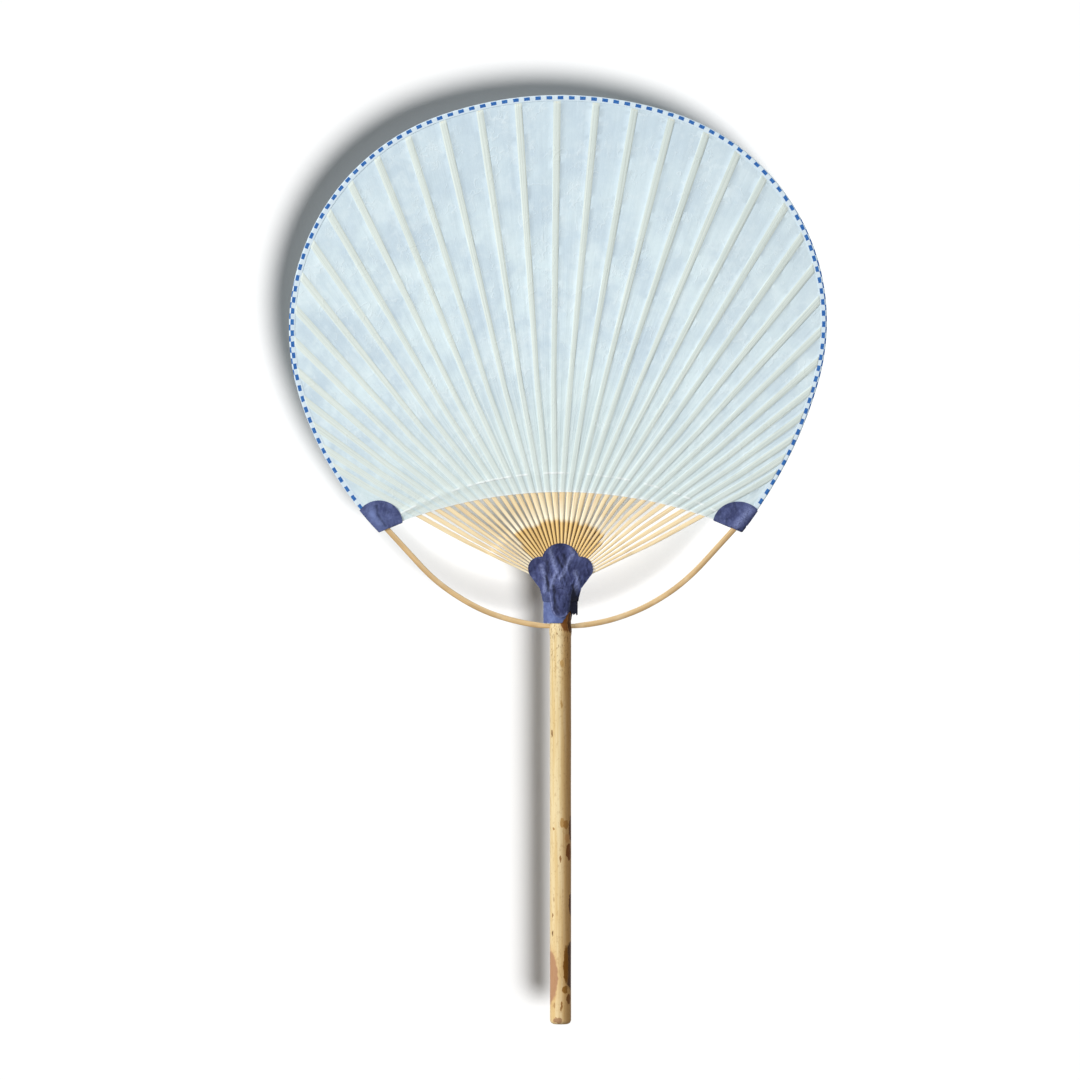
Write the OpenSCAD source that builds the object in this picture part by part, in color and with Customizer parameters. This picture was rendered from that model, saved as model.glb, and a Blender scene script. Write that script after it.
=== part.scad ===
// Round paper fan on a bamboo frame: one bamboo handle, a head of split ribs, a bow, and paper on both faces.
// The fan stands upright. X runs across the leaf, Z runs up along the handle, and the front face looks along -Y.
// The origin is on the handle's axis, in the middle of the grip.

/* [Overall] */
// Whole length, from the handle's end to the top of the leaf
total_len = 430; // [410:1:470]
// Height of the leaf's top above the bow's hole
leaf_top_h = 246; // [236:1:256]
// Width of the leaf, over the rim tape
leaf_w = 249; // [240:1:258]
// Height of the origin above the handle's end
grip_h = 90; // [60:1:120]

/* [Leaf outline] */
// Radius of the flat arc over the top
crown_r = 169; // [150:1:190]
// Half of the angle that the top arc takes
crown_angle = 19; // [15:0.5:23]
// Angle from the top at which the side arcs end
side_angle = 106; // [100:0.5:112]
// How far the leaf's sides lie to the left of the handle's axis
leaf_lean = 1.2; // [0:0.1:2]
// Distance from the leaf's widest line in to a lower corner
corner_in = 40.7; // [38:0.1:44]
// Radius of the paper's hollow lower edge
edge_r = 204; // [180:1:240]
// Height of the paper's lower edge above the bow's hole, on the axis
edge_h = 62; // [58:0.5:68]

/* [Handle] */
// Diameter of the bamboo handle
handle_d = 9.8; // [9:0.1:11]
// Diameter of the hollow in the bamboo
handle_bore_d = 5.2; // [4:0.1:6]
// Solid length that closes the handle's lower end
handle_end_wall = 8; // [5:0.5:15]
// Radius of the rounded lower edge
handle_end_round = 2; // [1:0.1:3]
// Length of handle above the bow's hole
handle_above_bow = 12.5; // [11:0.5:14]
// How far the bamboo's joint ring stands out of the handle
node_swell = 0.5; // [0.2:0.1:0.8]
// Length of the joint ring
node_len = 6.4; // [5.5:0.1:9]

/* [Rib head] */
// Length of the tenon that goes down into the handle
tenon_len = 8.5; // [5:0.5:9]
// Height of the centre of the rib roots above the bow's hole
head_h = 20; // [19:0.5:22]
// Radius of the arc on which the ribs are rooted
root_r = 13.6; // [13:0.1:14.5]
// Half of the angle that the rib roots take
root_angle = 73; // [65:1:76]
// Thickness of the head and of the ribs at their roots
head_t = 2.4; // [1.8:0.1:3]

/* [Ribs] */
// Number of ribs
rib_count = 34; // [24:2:36]
// Width of a rib at its root
rib_root_w = 0.85; // [0.6:0.05:0.9]
// Width of a rib at the lower edge of the paper
rib_window_w = 2.1; // [1.6:0.1:2.3]
// Width of a rib in the middle of the leaf
rib_leaf_w = 1.9; // [1.5:0.1:2.4]
// Width of a rib at the end of its full reach
rib_tip_w = 2.4; // [1.6:0.1:2.8]
// Thickness of a rib between the papers
rib_leaf_t = 0.9; // [0.7:0.1:1.4]
// Height of the fan's centre above the bow's hole
fan_h = 10.5; // [9.5:0.5:12]
// Distance from the fan's centre at which a rib begins to thin
thick_r = 38; // [32:1:42]
// Length over which a rib thins
thin_len = 5; // [3:1:8]
// Angle at the fan's centre between a leaf corner and the outer rib beside it
corner_rise = 9.3; // [8:0.1:11]
// Distance from the fan's centre to the ribs' first bend
window_r = 51.8; // [50:0.2:55]
// How far the outer ribs bend down there, in degrees
window_dip = 2.2; // [0:0.1:3]
// How much the outer ribs bunch there, in degrees
window_bunch = 4.2; // [3:0.1:5]
// Distance from the fan's centre to the ribs' second bend
leaf_r = 102.8; // [95:0.2:110]
// How much the outer ribs bunch there
leaf_bunch = 12; // [10:0.5:14]
// How much the outer ribs' ends bunch
tip_bunch = 17; // [14:0.5:19]
// Lean of the middle ribs at the first bend, to the right
window_sway = -1; // [-1.5:0.1:0]
// Lean of the middle ribs at the second bend
leaf_sway = 0.4; // [0:0.1:0.8]
// Lean of the middle ribs' ends
tip_sway = 3; // [0:0.5:4]

/* [Papers] */
// Thickness of each paper, with its paste
paper_t = 0.25; // [0.15:0.05:0.35]
// Width of the rim tape on each face
tape_w = 3.2; // [2.5:0.1:4]
// Thickness of the rim tape
tape_t = 0.2; // [0.1:0.05:0.3]
// Radius of the round ear patches
ear_r = 10.9; // [9.5:0.1:11.5]
// Height of an ear patch's centre above the leaf's corner
ear_h = 3; // [1:0.5:5]
// Thickness of an ear patch
ear_t = 0.3; // [0.2:0.05:0.4]

/* [Bow] */
// Width of the bow strip, in the plane of the leaf
bow_w = 1.9; // [1.5:0.1:2.2]
// Thickness of the bow strip, from front to back
bow_t = 1.5; // [1.2:0.1:1.8]
// Length of the bow's straight stretch, from its round middle to the leaf's edge
bow_straight = 22.5; // [12:0.5:40]
// Distance of the bow from the leaf's corner, where it goes under the ear
bow_inset = 3.2; // [2.5:0.1:4.5]
// Length of bow inside an ear
bow_tuck = 6; // [5:0.5:6.5]

/* [Thread] */
// Width of the weaving thread
thread_w = 0.8; // [0.5:0.1:1.2]
// Thickness of the weaving thread
thread_t = 0.35; // [0.25:0.05:0.5]
// Height of the thread's line above the bow's hole, on the axis
thread_h = 71; // [69:0.5:73]
// Distance of the knot's middle from the leaf's edge, along the bow
knot_s = 2.6; // [2:0.1:3.4]
// Length of the knot on the bow's end
knot_len = 2; // [1.4:0.1:2.6]

/* [Neck papers] */
// Width of the neck sleeve, over its pressed side edges
sleeve_w = 15.9; // [14.5:0.1:17.5]
// Length of the neck sleeve
sleeve_len = 11.4; // [11:0.1:12]
// Height of the sleeve's lower edge above the bow's hole
sleeve_h = 1.6; // [1.4:0.1:2]
// Thickness of the neck papers
wrap_t = 0.3; // [0.2:0.05:0.4]
// Length by which the patches lap over the sleeve
lap = 1.5; // [1:0.1:2.5]
// Radius of a patch's middle lobe
mid_lobe_r = 8.8; // [8:0.1:9.5]
// Height of the middle lobe's centre above the centre of the rib roots
mid_lobe_h = 9.7; // [9:0.1:10.5]
// Radius of a patch's side lobes
side_lobe_r = 5.6; // [5:0.1:6]
// Distance of a side lobe's centre from the axis
side_lobe_x = 9.4; // [9:0.1:10]
// Height of the side lobes' centres above the centre of the rib roots
side_lobe_h = 6.7; // [6:0.1:7.5]
// Half of the width of the tongue's round end
tongue_r = 4.3; // [3.5:0.1:4.8]
// Half of the width of the tongue at the sleeve's top
tongue_top = 5.2; // [4.8:0.1:6]
// Height of the tongue's lowest point above the bow's hole
tongue_h = 4.2; // [3:0.1:5]

/* [Fits] */
// Clearance of the tenon in the handle, on each side
tenon_gap = 0.05; // [0.02:0.01:0.1]
// Clearance of the bow's corners in its hole
bow_gap = 0.04; // [0.02:0.01:0.15]
// Clearance of the papers round the ribs and the thread
paper_gap = 0.05; // [0.02:0.01:0.1]
// Clearance under the neck papers
wrap_gap = 0.1; // [0.05:0.01:0.15]
// Height of the sleeve's lower edge above the joint ring
joint_gap = 0.2; // [0.1:0.1:0.4]

/* [Hidden] */
$fn = 64;
long_fn = 360;
form_fn = 32;
rib_names = [for (i = [1 : rib_count]) str("rib_", i < 10 ? "0" : "", i)];

// Heights and centres, as X and Z on the fan's middle plane
end_z = -grip_h;
top_z = total_len - grip_h;
bow_z = top_z - leaf_top_h;
handle_top_z = bow_z + handle_above_bow;
fan_pole = [0, bow_z + fan_h];
head_pole = [0, bow_z + head_h];
crown_c = [0, top_z - crown_r];
rim_step = 4;
edge_c = [0, bow_z + edge_h - edge_r];

// The leaf's right corner, on the paper's lower edge
corner = on_edge(leaf_w / 2 - corner_in);
outline_over = 6;
outer_angle = heading(corner - fan_pole) - corner_rise;
ear_c = corner + [0, ear_h];

// The bow: a round stretch about bow_c, then straight to the leaf's corners
bow_in = on_edge(corner[0] - bow_inset);
bow_run = bow_in - [0, bow_z];
bow_r = (bow_run * bow_run - bow_straight * bow_straight) / (2 * bow_run[1]);
bow_c = [0, bow_z + bow_r];
bow_angle = 180 - heading(bow_in - bow_c) - atan2(bow_straight, bow_r);
bow_dir = [cos(bow_angle), sin(bow_angle)];
bow_reach = handle_d / 2 + node_swell;
bow_rise = bow_r - sqrt(bow_r * bow_r - bow_reach * bow_reach);
bow_hole_d = norm([bow_w + bow_rise, bow_t]) + 2 * bow_gap;
bow_hole_z = bow_z + bow_rise / 2;

// The thread runs in front of the ribs and behind them, and is tied to the bow's ends
knot_at = bow_in + knot_s * bow_dir;
thread_top = [0, bow_z + thread_h];
thread_run = thread_top - knot_at;
thread_r = thread_run * thread_run / (2 * thread_run[1]);
thread_c = thread_top - [0, thread_r];
thread_angle = heading(knot_at - thread_c);
knot_w = bow_w + 2 * paper_gap + 2 * thread_t;
knot_t = bow_t + 2 * paper_gap + 2 * thread_t;

// Depths from the middle plane to the outside of each layer
rib_y = rib_leaf_t / 2;
strand_y = rib_y + thread_t;
cover_y = rib_y + paper_gap + paper_t;
strand_cover_y = strand_y + paper_gap + paper_t;
tape_y = paper_t + tape_t;
cover_start = 0.6;
rib_reach = top_z - fan_pole[1];
through = 20;
joined = 0.05;
slice_slack = 1.2;
foot_min = 0.4;
ear_ribs = 4;

// Neck papers
sleeve_z = bow_z + sleeve_h;
sleeve_top_z = sleeve_z + sleeve_len;
waist_z = sleeve_top_z - lap;
node_top_z = sleeve_z - joint_gap;
node_mid_z = node_top_z - node_len / 2;
foot_h = max(foot_min, sleeve_top_z + joined - handle_top_z);
sleeve_out = wrap_gap + wrap_t;
press_angle = acos((handle_d / 2 + sleeve_out) / (sleeve_w / 2));
side_lobe_c = head_pole + [side_lobe_x, side_lobe_h];
mid_lobe_c = head_pole + [0, mid_lobe_h];
form_r = side_lobe_x + side_lobe_r + mid_lobe_r;
lobe_notch = crossing(mid_lobe_c, mid_lobe_r, side_lobe_c, side_lobe_r);
lobe_end = 125;
lobe_step = 0.8;

bamboo = "#e0c28c";
handle_tone = "#d8b878";
paper_tone = "#d5e8f0";
tape_tone = "#2f6ab3";
indigo = "#40427c";
thread_tone = "#e8e4d4";

// Point at distance r from c, at an angle from the vertical that grows to the right
function polar(c, r, a) = c + r * [sin(a), cos(a)];

function heading(d) = atan2(d[0], d[1]);

// Point on the paper's lower edge, at distance x from the axis
function on_edge(x) = [x, edge_c[1] + sqrt(edge_r * edge_r - x * x)];

// Points along an arc, about a step apart; the last is left to what follows
function arc(c, r, a0, a1, step = rim_step) =
    let (steps = ceil(r * (a1 - a0) * PI / 180 / step))
    [for (k = [0 : steps - 1]) polar(c, r, a0 + (a1 - a0) * k / steps)];

// Where a circle about a meets a circle about b, to the left of the way from a to b
function crossing(a, ra, b, rb) =
    let (d = norm(b - a), along = (ra * ra - rb * rb + d * d) / (2 * d), dir = (b - a) / d)
    a + along * dir - sqrt(ra * ra - along * along) * right_of(dir);

function right_of(d) = [d[1], -d[0]] / norm(d);

// Ribs run from -1 at the left to 1 at the right
function place(i) = (2 * i - rib_count - 1) / (rib_count - 1);

// Direction of a rib: the ribs lie closer together towards the outer ones, and the middle ones lean
function fanned(u, outer, bunch, sway) = (outer + bunch) * u - bunch * pow(u, 3) + sway * (1 - u * u);

function rib_root(i) = polar(head_pole, root_r, root_angle * place(i));

function rib_window(i) =
    polar(fan_pole, window_r, fanned(place(i), outer_angle - window_dip, window_bunch, window_sway));

function rib_leaf(i) = polar(fan_pole, leaf_r, fanned(place(i), outer_angle, leaf_bunch, leaf_sway));

function rib_tip(i) = polar(rib_leaf(i), rib_reach, fanned(place(i), outer_angle, tip_bunch, tip_sway));

// The two corners of a rib's root, on the root arc
function root_corner(i, side) =
    polar(head_pole, root_r, root_angle * place(i) + side * asin(rib_root_w / 2 / root_r));

// One side of a rib above its root: side is -1 for left and 1 for right
function rib_side(i, side, grow) =
    let (low_right = right_of(rib_leaf(i) - rib_window(i)), tip_right = right_of(rib_tip(i) - rib_leaf(i)))
    [
        rib_window(i) + side * (rib_window_w / 2 + grow) * low_right,
        rib_leaf(i) + side * (rib_leaf_w / 2 + grow) * low_right,
        rib_tip(i) + side * (rib_tip_w / 2 + grow) * tip_right
    ];

function turned(list) = [for (k = [len(list) - 1 : -1 : 0]) list[k]];

function across(list) = [for (p = list) [-p[0], p[1]]];

function rib_points(i) =
    concat([root_corner(i, -1)], rib_side(i, -1, 0), turned(rib_side(i, 1, 0)), [root_corner(i, 1)]);

// The stretch of a rib that lies under the papers, grown on both sides
function cover_points(i, grow) =
    let (foot = rib_root(i) + cover_start * (rib_window(i) - rib_root(i)),
         half = (rib_root_w + cover_start * (rib_window_w - rib_root_w)) / 2 + grow,
         foot_right = half * right_of(rib_window(i) - rib_root(i)))
    concat([foot - foot_right], rib_side(i, -1, grow), turned(rib_side(i, 1, grow)), [foot + foot_right]);

// Stands a flat shape up, as a slab that reaches from y0 to y1
module slab(y0, y1) {
    translate([0, y1, 0]) rotate([90, 0, 0]) linear_extrude(y1 - y0) children();
}

module both_sides() {
    children();
    mirror([1, 0, 0]) children();
}

// A slice of a disc, between two angles from the vertical
module slice(c, r, a0, a1) {
    middle = (a0 + a1) / 2;
    far = slice_slack * r / cos((a1 - a0) / 4);
    intersection() {
        translate(c) circle(r, $fn = long_fn);
        polygon([c, polar(c, far, a0), polar(c, far, middle), polar(c, far, a1)]);
    }
}

// One side of the fan's outline, grown by g, with the widest line at distance half_w from the axis: an arc over
// the top, an arc round the side, and one that runs to the corner and a little past it, then straight down
function outline_side(half_w, g) =
    let (side_r = (half_w - crown_r * sin(crown_angle)) / (1 - sin(crown_angle)),
         side_c = polar(crown_c, crown_r - side_r, crown_angle),
         side_end = polar(side_c, side_r, side_angle),
         run = corner - side_end,
         lower_r = run * run * side_r / (2 * run * (side_c - side_end)),
         lower_c = polar(side_c, side_r - lower_r, side_angle),
         last_angle = heading(corner - lower_c) + outline_over / lower_r * 180 / PI,
         last = polar(lower_c, lower_r + g, last_angle))
    concat(arc(crown_c, crown_r + g, 0, crown_angle), arc(side_c, side_r + g, crown_angle, side_angle),
           arc(lower_c, lower_r + g, side_angle, last_angle), [last, [last[0], handle_top_z]]);

module outline(g) {
    right = outline_side(leaf_w / 2 - leaf_lean, g);
    left = outline_side(leaf_w / 2 + leaf_lean, g);
    polygon(concat(right, across(turned(left))));
}

// The leaf alone, above the paper's lower edge
module leaf(g) {
    difference() {
        outline(g);
        translate(edge_c) circle(edge_r - g, $fn = long_fn);
    }
}

// The part of the leaf, grown by g, in which ribs and thread lie under raised paper
module covered_leaf(g) {
    intersection() {
        leaf(g - tape_t);
        outline(g - tape_w);
    }
}

module thread_line(half_w) {
    difference() {
        slice(thread_c, thread_r + half_w, -thread_angle, thread_angle);
        translate(thread_c) circle(thread_r - half_w, $fn = long_fn);
    }
}

// Places a piece on the bow's right end, with its X along the bow and into the ear
module at_bow_end() {
    translate([bow_in[0], 0, bow_in[1]]) rotate([0, -bow_angle, 0]) children();
}

// The room that the papers and the ears leave for the bow's end and its knot
module bow_pocket(grow) {
    reach = bow_tuck + paper_gap + grow;
    low = -knot_w;
    both_sides() at_bow_end() translate([low, -knot_t / 2 - paper_gap - grow, -knot_w / 2 - paper_gap - grow])
        cube([reach - low, knot_t + 2 * paper_gap + 2 * grow, knot_w + 2 * paper_gap + 2 * grow]);
}

module handle() {
    r = handle_d / 2;
    swell_r = (node_swell * node_swell + node_len * node_len / 4) / (2 * node_swell);
    color(handle_tone) difference() {
        union() {
            translate([0, 0, end_z + handle_end_round])
                cylinder(r = r, h = handle_top_z - end_z - handle_end_round);
            translate([0, 0, end_z]) rotate_extrude() intersection() {
                union() {
                    square([r - handle_end_round, 2 * handle_end_round]);
                    translate([r - handle_end_round, handle_end_round]) circle(handle_end_round);
                }
                square([r, handle_end_round]);
            }
            translate([0, 0, node_mid_z]) rotate_extrude() intersection() {
                translate([r + node_swell - swell_r, 0]) circle(swell_r);
                translate([r / 2, -node_len]) square([r, 2 * node_len]);
            }
        }
        translate([0, 0, end_z + handle_end_wall])
            cylinder(d = handle_bore_d, h = handle_top_z - end_z);
        translate([0, 0, bow_hole_z]) rotate([0, 90, 0]) cylinder(d = bow_hole_d, h = 2 * through, center = true);
    }
}

module rib_head() {
    roots = [for (i = [1 : rib_count]) for (side = [-1, 1]) root_corner(i, side)];
    color(bamboo) {
        hull() {
            slab(-head_t / 2, head_t / 2) polygon(roots);
            translate([0, 0, handle_top_z + foot_h - joined]) cylinder(d = handle_d, h = joined, $fn = form_fn);
        }
        translate([0, 0, handle_top_z]) cylinder(d = handle_d, h = foot_h);
        translate([0, 0, handle_top_z - tenon_len])
            cylinder(d = handle_bore_d - 2 * tenon_gap, h = tenon_len + foot_h);
    }
}

// Thickness that the ribs are whittled to, at each distance from the fan's centre
module whittled() {
    far = total_len;
    thin_r = thick_r + thin_len;
    translate([0, 0, fan_pole[1]]) rotate([90, 0, 0]) rotate_extrude()
        polygon([[0, -head_t / 2], [thick_r, -head_t / 2], [thin_r, -rib_y], [far, -rib_y],
                 [far, rib_y], [thin_r, rib_y], [thick_r, head_t / 2], [0, head_t / 2]]);
}

module rib(i) {
    color(bamboo) intersection() {
        slab(-head_t / 2, head_t / 2) intersection() {
            polygon(rib_points(i));
            outline(-tape_w - paper_gap);
        }
        whittled();
    }
}

module bow() {
    half = bow_w / 2;
    color(bamboo) {
        slab(-bow_t / 2, bow_t / 2) difference() {
            slice(bow_c, bow_r + half, 180 - bow_angle, 180 + bow_angle);
            translate(bow_c) circle(bow_r - half, $fn = long_fn);
        }
        both_sides() at_bow_end() translate([-bow_straight - joined, -bow_t / 2, -half])
            cube([bow_straight + joined + bow_tuck, bow_t, bow_w]);
    }
}

module weaving_thread() {
    color(thread_tone) difference() {
        union() {
            slab(-strand_y, -rib_y) thread_line(thread_w / 2);
            slab(rib_y, strand_y) thread_line(thread_w / 2);
            both_sides() at_bow_end() translate([knot_s - knot_len / 2, -knot_t / 2, -knot_w / 2])
                cube([knot_len, knot_t, knot_w]);
        }
        both_sides() at_bow_end() translate([-bow_tuck, -bow_t / 2 - paper_gap, -bow_w / 2 - paper_gap])
            cube([3 * bow_tuck, bow_t + 2 * paper_gap, bow_w + 2 * paper_gap]);
    }
}

// One paper: flat between the ribs, and raised over each rib and over the thread
module half_leaf() {
    intersection() {
        difference() {
            union() {
                slab(-paper_t, 0) leaf(-tape_t);
                slab(-cover_y, 0) intersection() {
                    union() for (i = [1 : rib_count]) polygon(cover_points(i, paper_gap + paper_t));
                    covered_leaf(0);
                }
                slab(-strand_cover_y, 0) intersection() {
                    thread_line(thread_w / 2 + paper_gap + paper_t);
                    covered_leaf(0);
                }
            }
            slab(-cover_y + paper_t, through) union()
                for (i = [1 : rib_count]) polygon(cover_points(i, paper_gap));
            slab(-strand_cover_y + paper_t, through) thread_line(thread_w / 2 + paper_gap);
            bow_pocket(0);
        }
        slab(-through, 0) outline(0);
    }
}

module front_paper() {
    color(paper_tone) half_leaf();
}

module back_paper() {
    color(paper_tone) mirror([0, 1, 0]) half_leaf();
}

module rim_tape() {
    color(tape_tone) difference() {
        slab(-tape_y, tape_y) difference() {
            leaf(0);
            outline(-tape_w);
        }
        slab(-paper_t, paper_t) outline(-tape_t);
        bow_pocket(0);
    }
}

// What an ear is folded over, grown by g: tape, covered ribs and thread, and the bow's end
module corner_form(ribs, g) {
    slab(-tape_y - g, tape_y + g) leaf(g);
    slab(-cover_y - g, cover_y + g) intersection() {
        union() for (i = ribs) polygon(cover_points(i, paper_gap + paper_t + g));
        covered_leaf(g);
    }
    slab(-strand_cover_y - g, strand_cover_y + g) thread_line(thread_w / 2 + paper_gap + paper_t + g);
    bow_pocket(g);
}

// An ear is a round patch folded over the leaf's corner: side is -1 for left and 1 for right
module ear(side, ribs) {
    color(indigo) difference() {
        intersection() {
            corner_form(ribs, ear_t);
            slab(-through, through) intersection() {
                translate([side * ear_c[0], ear_c[1]]) circle(ear_r);
                leaf(ear_t);
            }
        }
        corner_form(ribs, 0);
    }
}

module left_ear() {
    ear(-1, [1 : ear_ribs]);
}

module right_ear() {
    ear(1, [rib_count + 1 - ear_ribs : rib_count]);
}

// Section of the neck: round over the handle, pressed flat into an edge at each side
module neck_section(g) {
    r = handle_d / 2 + g;
    steps = 12;
    back = [for (k = [0 : steps])
        let (a = press_angle + (180 - 2 * press_angle) * k / steps) r * [cos(a), sin(a)]];
    tip = [r / cos(press_angle), 0];
    polygon(concat([tip], back, [-tip], -back));
}

module neck_sleeve() {
    color(indigo) translate([0, 0, sleeve_z]) linear_extrude(sleeve_len) difference() {
        neck_section(sleeve_out);
        neck_section(wrap_gap);
    }
}

// The form that the neck patches are pressed on: round at the sleeve, flat over the ribs
module neck_form(g) {
    half_t = head_t / 2 + wrap_gap + g;
    hull() {
        slab(-half_t, half_t) form_top(root_r + wrap_gap + g);
        translate([0, 0, waist_z]) linear_extrude(2 * lap) neck_section(sleeve_out + wrap_gap + g);
    }
    slab(-half_t, half_t) form_top(form_r);
}

module form_top(r) {
    intersection() {
        translate(head_pole) circle(r, $fn = form_fn);
        translate([-r, head_pole[1] - lap]) square(2 * r);
    }
}

// A patch's outline: a middle lobe, a side lobe that meets it in a notch, and the waist at the sleeve
module patch_outline() {
    waist = sleeve_w / 2 + wrap_gap + wrap_t;
    right = concat(arc(mid_lobe_c, mid_lobe_r, 0, heading(lobe_notch - mid_lobe_c), lobe_step),
                   arc(side_lobe_c, side_lobe_r, heading(lobe_notch - side_lobe_c), lobe_end, lobe_step),
                   [polar(side_lobe_c, side_lobe_r, lobe_end), [waist, sleeve_top_z], [waist, waist_z]]);
    polygon(concat(right, across(turned(right))));
}

module patch() {
    difference() {
        intersection() {
            neck_form(wrap_t);
            slab(-through, 0) patch_outline();
        }
        neck_form(0);
    }
}

module neck_patch_front() {
    tongue_c = [0, bow_z + tongue_h + tongue_r];
    color(indigo) {
        patch();
        intersection() {
            translate([0, 0, bow_z]) linear_extrude(waist_z - bow_z + wrap_t) difference() {
                neck_section(sleeve_out + wrap_gap + wrap_t);
                neck_section(sleeve_out + wrap_gap);
            }
            slab(-through, 0) union() {
                translate(tongue_c) circle(tongue_r);
                polygon([tongue_c - [tongue_r, 0], tongue_c + [tongue_r, 0],
                         [tongue_top, waist_z + wrap_t], [-tongue_top, waist_z + wrap_t]]);
            }
        }
    }
}

module neck_patch_back() {
    color(indigo) mirror([0, 1, 0]) patch();
}

handle();
rib_head();
for (i = [1 : rib_count]) rib(i);
bow();
weaving_thread();
front_paper();
back_paper();
rim_tape();
left_ear();
right_ear();
neck_sleeve();
neck_patch_front();
neck_patch_back();
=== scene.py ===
from math import acos, asin, atan2, ceil, cos, degrees, hypot, pi, radians, sin, sqrt

import bmesh
import bpy
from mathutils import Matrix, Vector, noise
from mathutils.bvhtree import BVHTree


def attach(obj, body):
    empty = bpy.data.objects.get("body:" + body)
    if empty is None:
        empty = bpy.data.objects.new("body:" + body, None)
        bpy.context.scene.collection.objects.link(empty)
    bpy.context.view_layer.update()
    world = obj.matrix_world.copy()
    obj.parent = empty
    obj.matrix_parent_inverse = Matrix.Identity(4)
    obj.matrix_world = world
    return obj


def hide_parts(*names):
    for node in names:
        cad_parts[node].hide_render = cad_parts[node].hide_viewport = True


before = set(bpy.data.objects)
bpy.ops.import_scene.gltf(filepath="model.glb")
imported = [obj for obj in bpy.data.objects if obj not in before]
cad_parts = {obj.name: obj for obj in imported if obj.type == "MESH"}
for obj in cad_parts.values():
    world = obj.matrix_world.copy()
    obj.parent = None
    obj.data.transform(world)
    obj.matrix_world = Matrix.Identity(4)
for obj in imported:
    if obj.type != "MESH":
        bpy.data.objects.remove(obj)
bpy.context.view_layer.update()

# Studio: a white board stands close behind the fan and a pale floor lies below it. One lamp lights the board
# alone, from low on the right, and throws the fan's soft shadow up to the left; the others light the fan and
# leave the board out. The camera looks straight at the front through a long lens.
scene = bpy.context.scene
scene.view_settings.view_transform = "Standard"
mm = 0.001


def tone(red, green, blue):
    """A colour as read off a colour chart, 0 to 255"""
    return tuple((c / 255 / 12.92 if c <= 10 else ((c / 255 + 0.055) / 1.055) ** 2.4)
                 for c in (red, green, blue)) + (1.0,)


def step(tree, kind, inputs=None, **settings):
    """One step of a finish; an input is a plain value or what another step gives"""
    made = tree.nodes.new("ShaderNode" + kind)
    for key, value in settings.items():
        setattr(made, key, value)
    for key, value in (inputs or {}).items():
        if isinstance(value, bpy.types.NodeSocket):
            tree.links.new(value, made.inputs[key])
        else:
            made.inputs[key].default_value = value
    return made


def stage_board(name, size, place, turn):
    bpy.ops.object.select_all(action="DESELECT")
    bpy.ops.mesh.primitive_plane_add(size=size, location=place, rotation=turn)
    board = bpy.context.object
    board.name = board.data.name = name
    bpy.ops.object.transform_apply()
    white = bpy.data.materials.new(name + "_white")
    white.use_nodes = True
    tree = white.node_tree
    tree.nodes.clear()
    matt = step(tree, "BsdfDiffuse", {"Color": (0.62, 0.62, 0.62, 1)})
    clear = step(tree, "BsdfTransparent")
    path = step(tree, "LightPath")
    seen = step(tree, "Math", {0: path.outputs["Is Camera Ray"], 1: path.outputs["Is Glossy Ray"]},
                operation="MAXIMUM")
    front = step(tree, "Math", {0: 1.0, 1: step(tree, "NewGeometry").outputs["Backfacing"]}, operation="SUBTRACT")
    shown = step(tree, "Math", {0: seen.outputs[0], 1: front.outputs[0]}, operation="MULTIPLY")
    mix = step(tree, "MixShader", {0: shown.outputs[0], 1: clear.outputs[0], 2: matt.outputs[0]})
    step(tree, "OutputMaterial", {"Surface": mix.outputs[0]})
    board.data.materials.append(white)
    return board


wall = stage_board("white_wall", 6, (0, 26 * mm, 2.87), (pi / 2, 0, 0))
floor = stage_board("pale_floor", 8, (0, 0, -0.13), (0, 0, 0))


def lamp(name, heading, level, softness, boards, state):
    """A soft distant lamp that shines along heading; level is the share of its full colour that it gives a matt
    surface that faces it, and state says if the boards alone are lit or are left out"""
    light = bpy.data.lights.new(name, "SUN")
    light.energy = level * pi
    light.angle = radians(softness)
    hung = bpy.data.objects.new(name, light)
    scene.collection.objects.link(hung)
    hung.rotation_mode = "QUATERNION"
    hung.rotation_quaternion = Vector(heading).to_track_quat("-Z", "Y")
    group = bpy.data.collections.new(name + "_boards")
    for board in boards:
        group.objects.link(board)
    for entry in group.collection_objects:
        entry.light_linking.link_state = state
    hung.light_linking.receiver_collection = group


lamp("key_from_left", (0.80, 0.52, -0.30), 0.84, 18, [wall, floor], "EXCLUDE")
lamp("front_fill", (0.10, 1.0, -0.25), 0.355, 40, [wall, floor], "EXCLUDE")
lamp("rear_fill", (0.15, -1.0, -0.35), 0.72, 40, [wall, floor], "EXCLUDE")
lamp("wall_lamp", (-0.37, 0.90, 0.43), 1.69, 24, [wall], "INCLUDE")
lamp("floor_lamp", (0.10, 0.15, -1.0), 1.42, 20, [floor], "INCLUDE")

scene.world = bpy.data.worlds.new("pale_room")
scene.world.use_nodes = True
room = scene.world.node_tree
room.nodes.clear()
sight = step(room, "LightPath")
looked_at = step(room, "Math", {0: sight.outputs["Is Camera Ray"], 1: sight.outputs["Is Glossy Ray"]},
                 operation="MAXIMUM")
sent_on = step(room, "Math", {0: looked_at.outputs[0], 1: sight.outputs["Is Transmission Ray"]}, operation="MAXIMUM")
glow = step(room, "Background", {"Color": (0.20, 0.20, 0.20, 1), "Strength": 1.0})
sky = step(room, "Background", {"Color": (1, 1, 1, 1), "Strength": 1.0})
both = step(room, "MixShader", {0: sent_on.outputs[0], 1: glow.outputs[0], 2: sky.outputs[0]})
step(room, "OutputWorld", {"Surface": both.outputs[0]})

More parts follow.
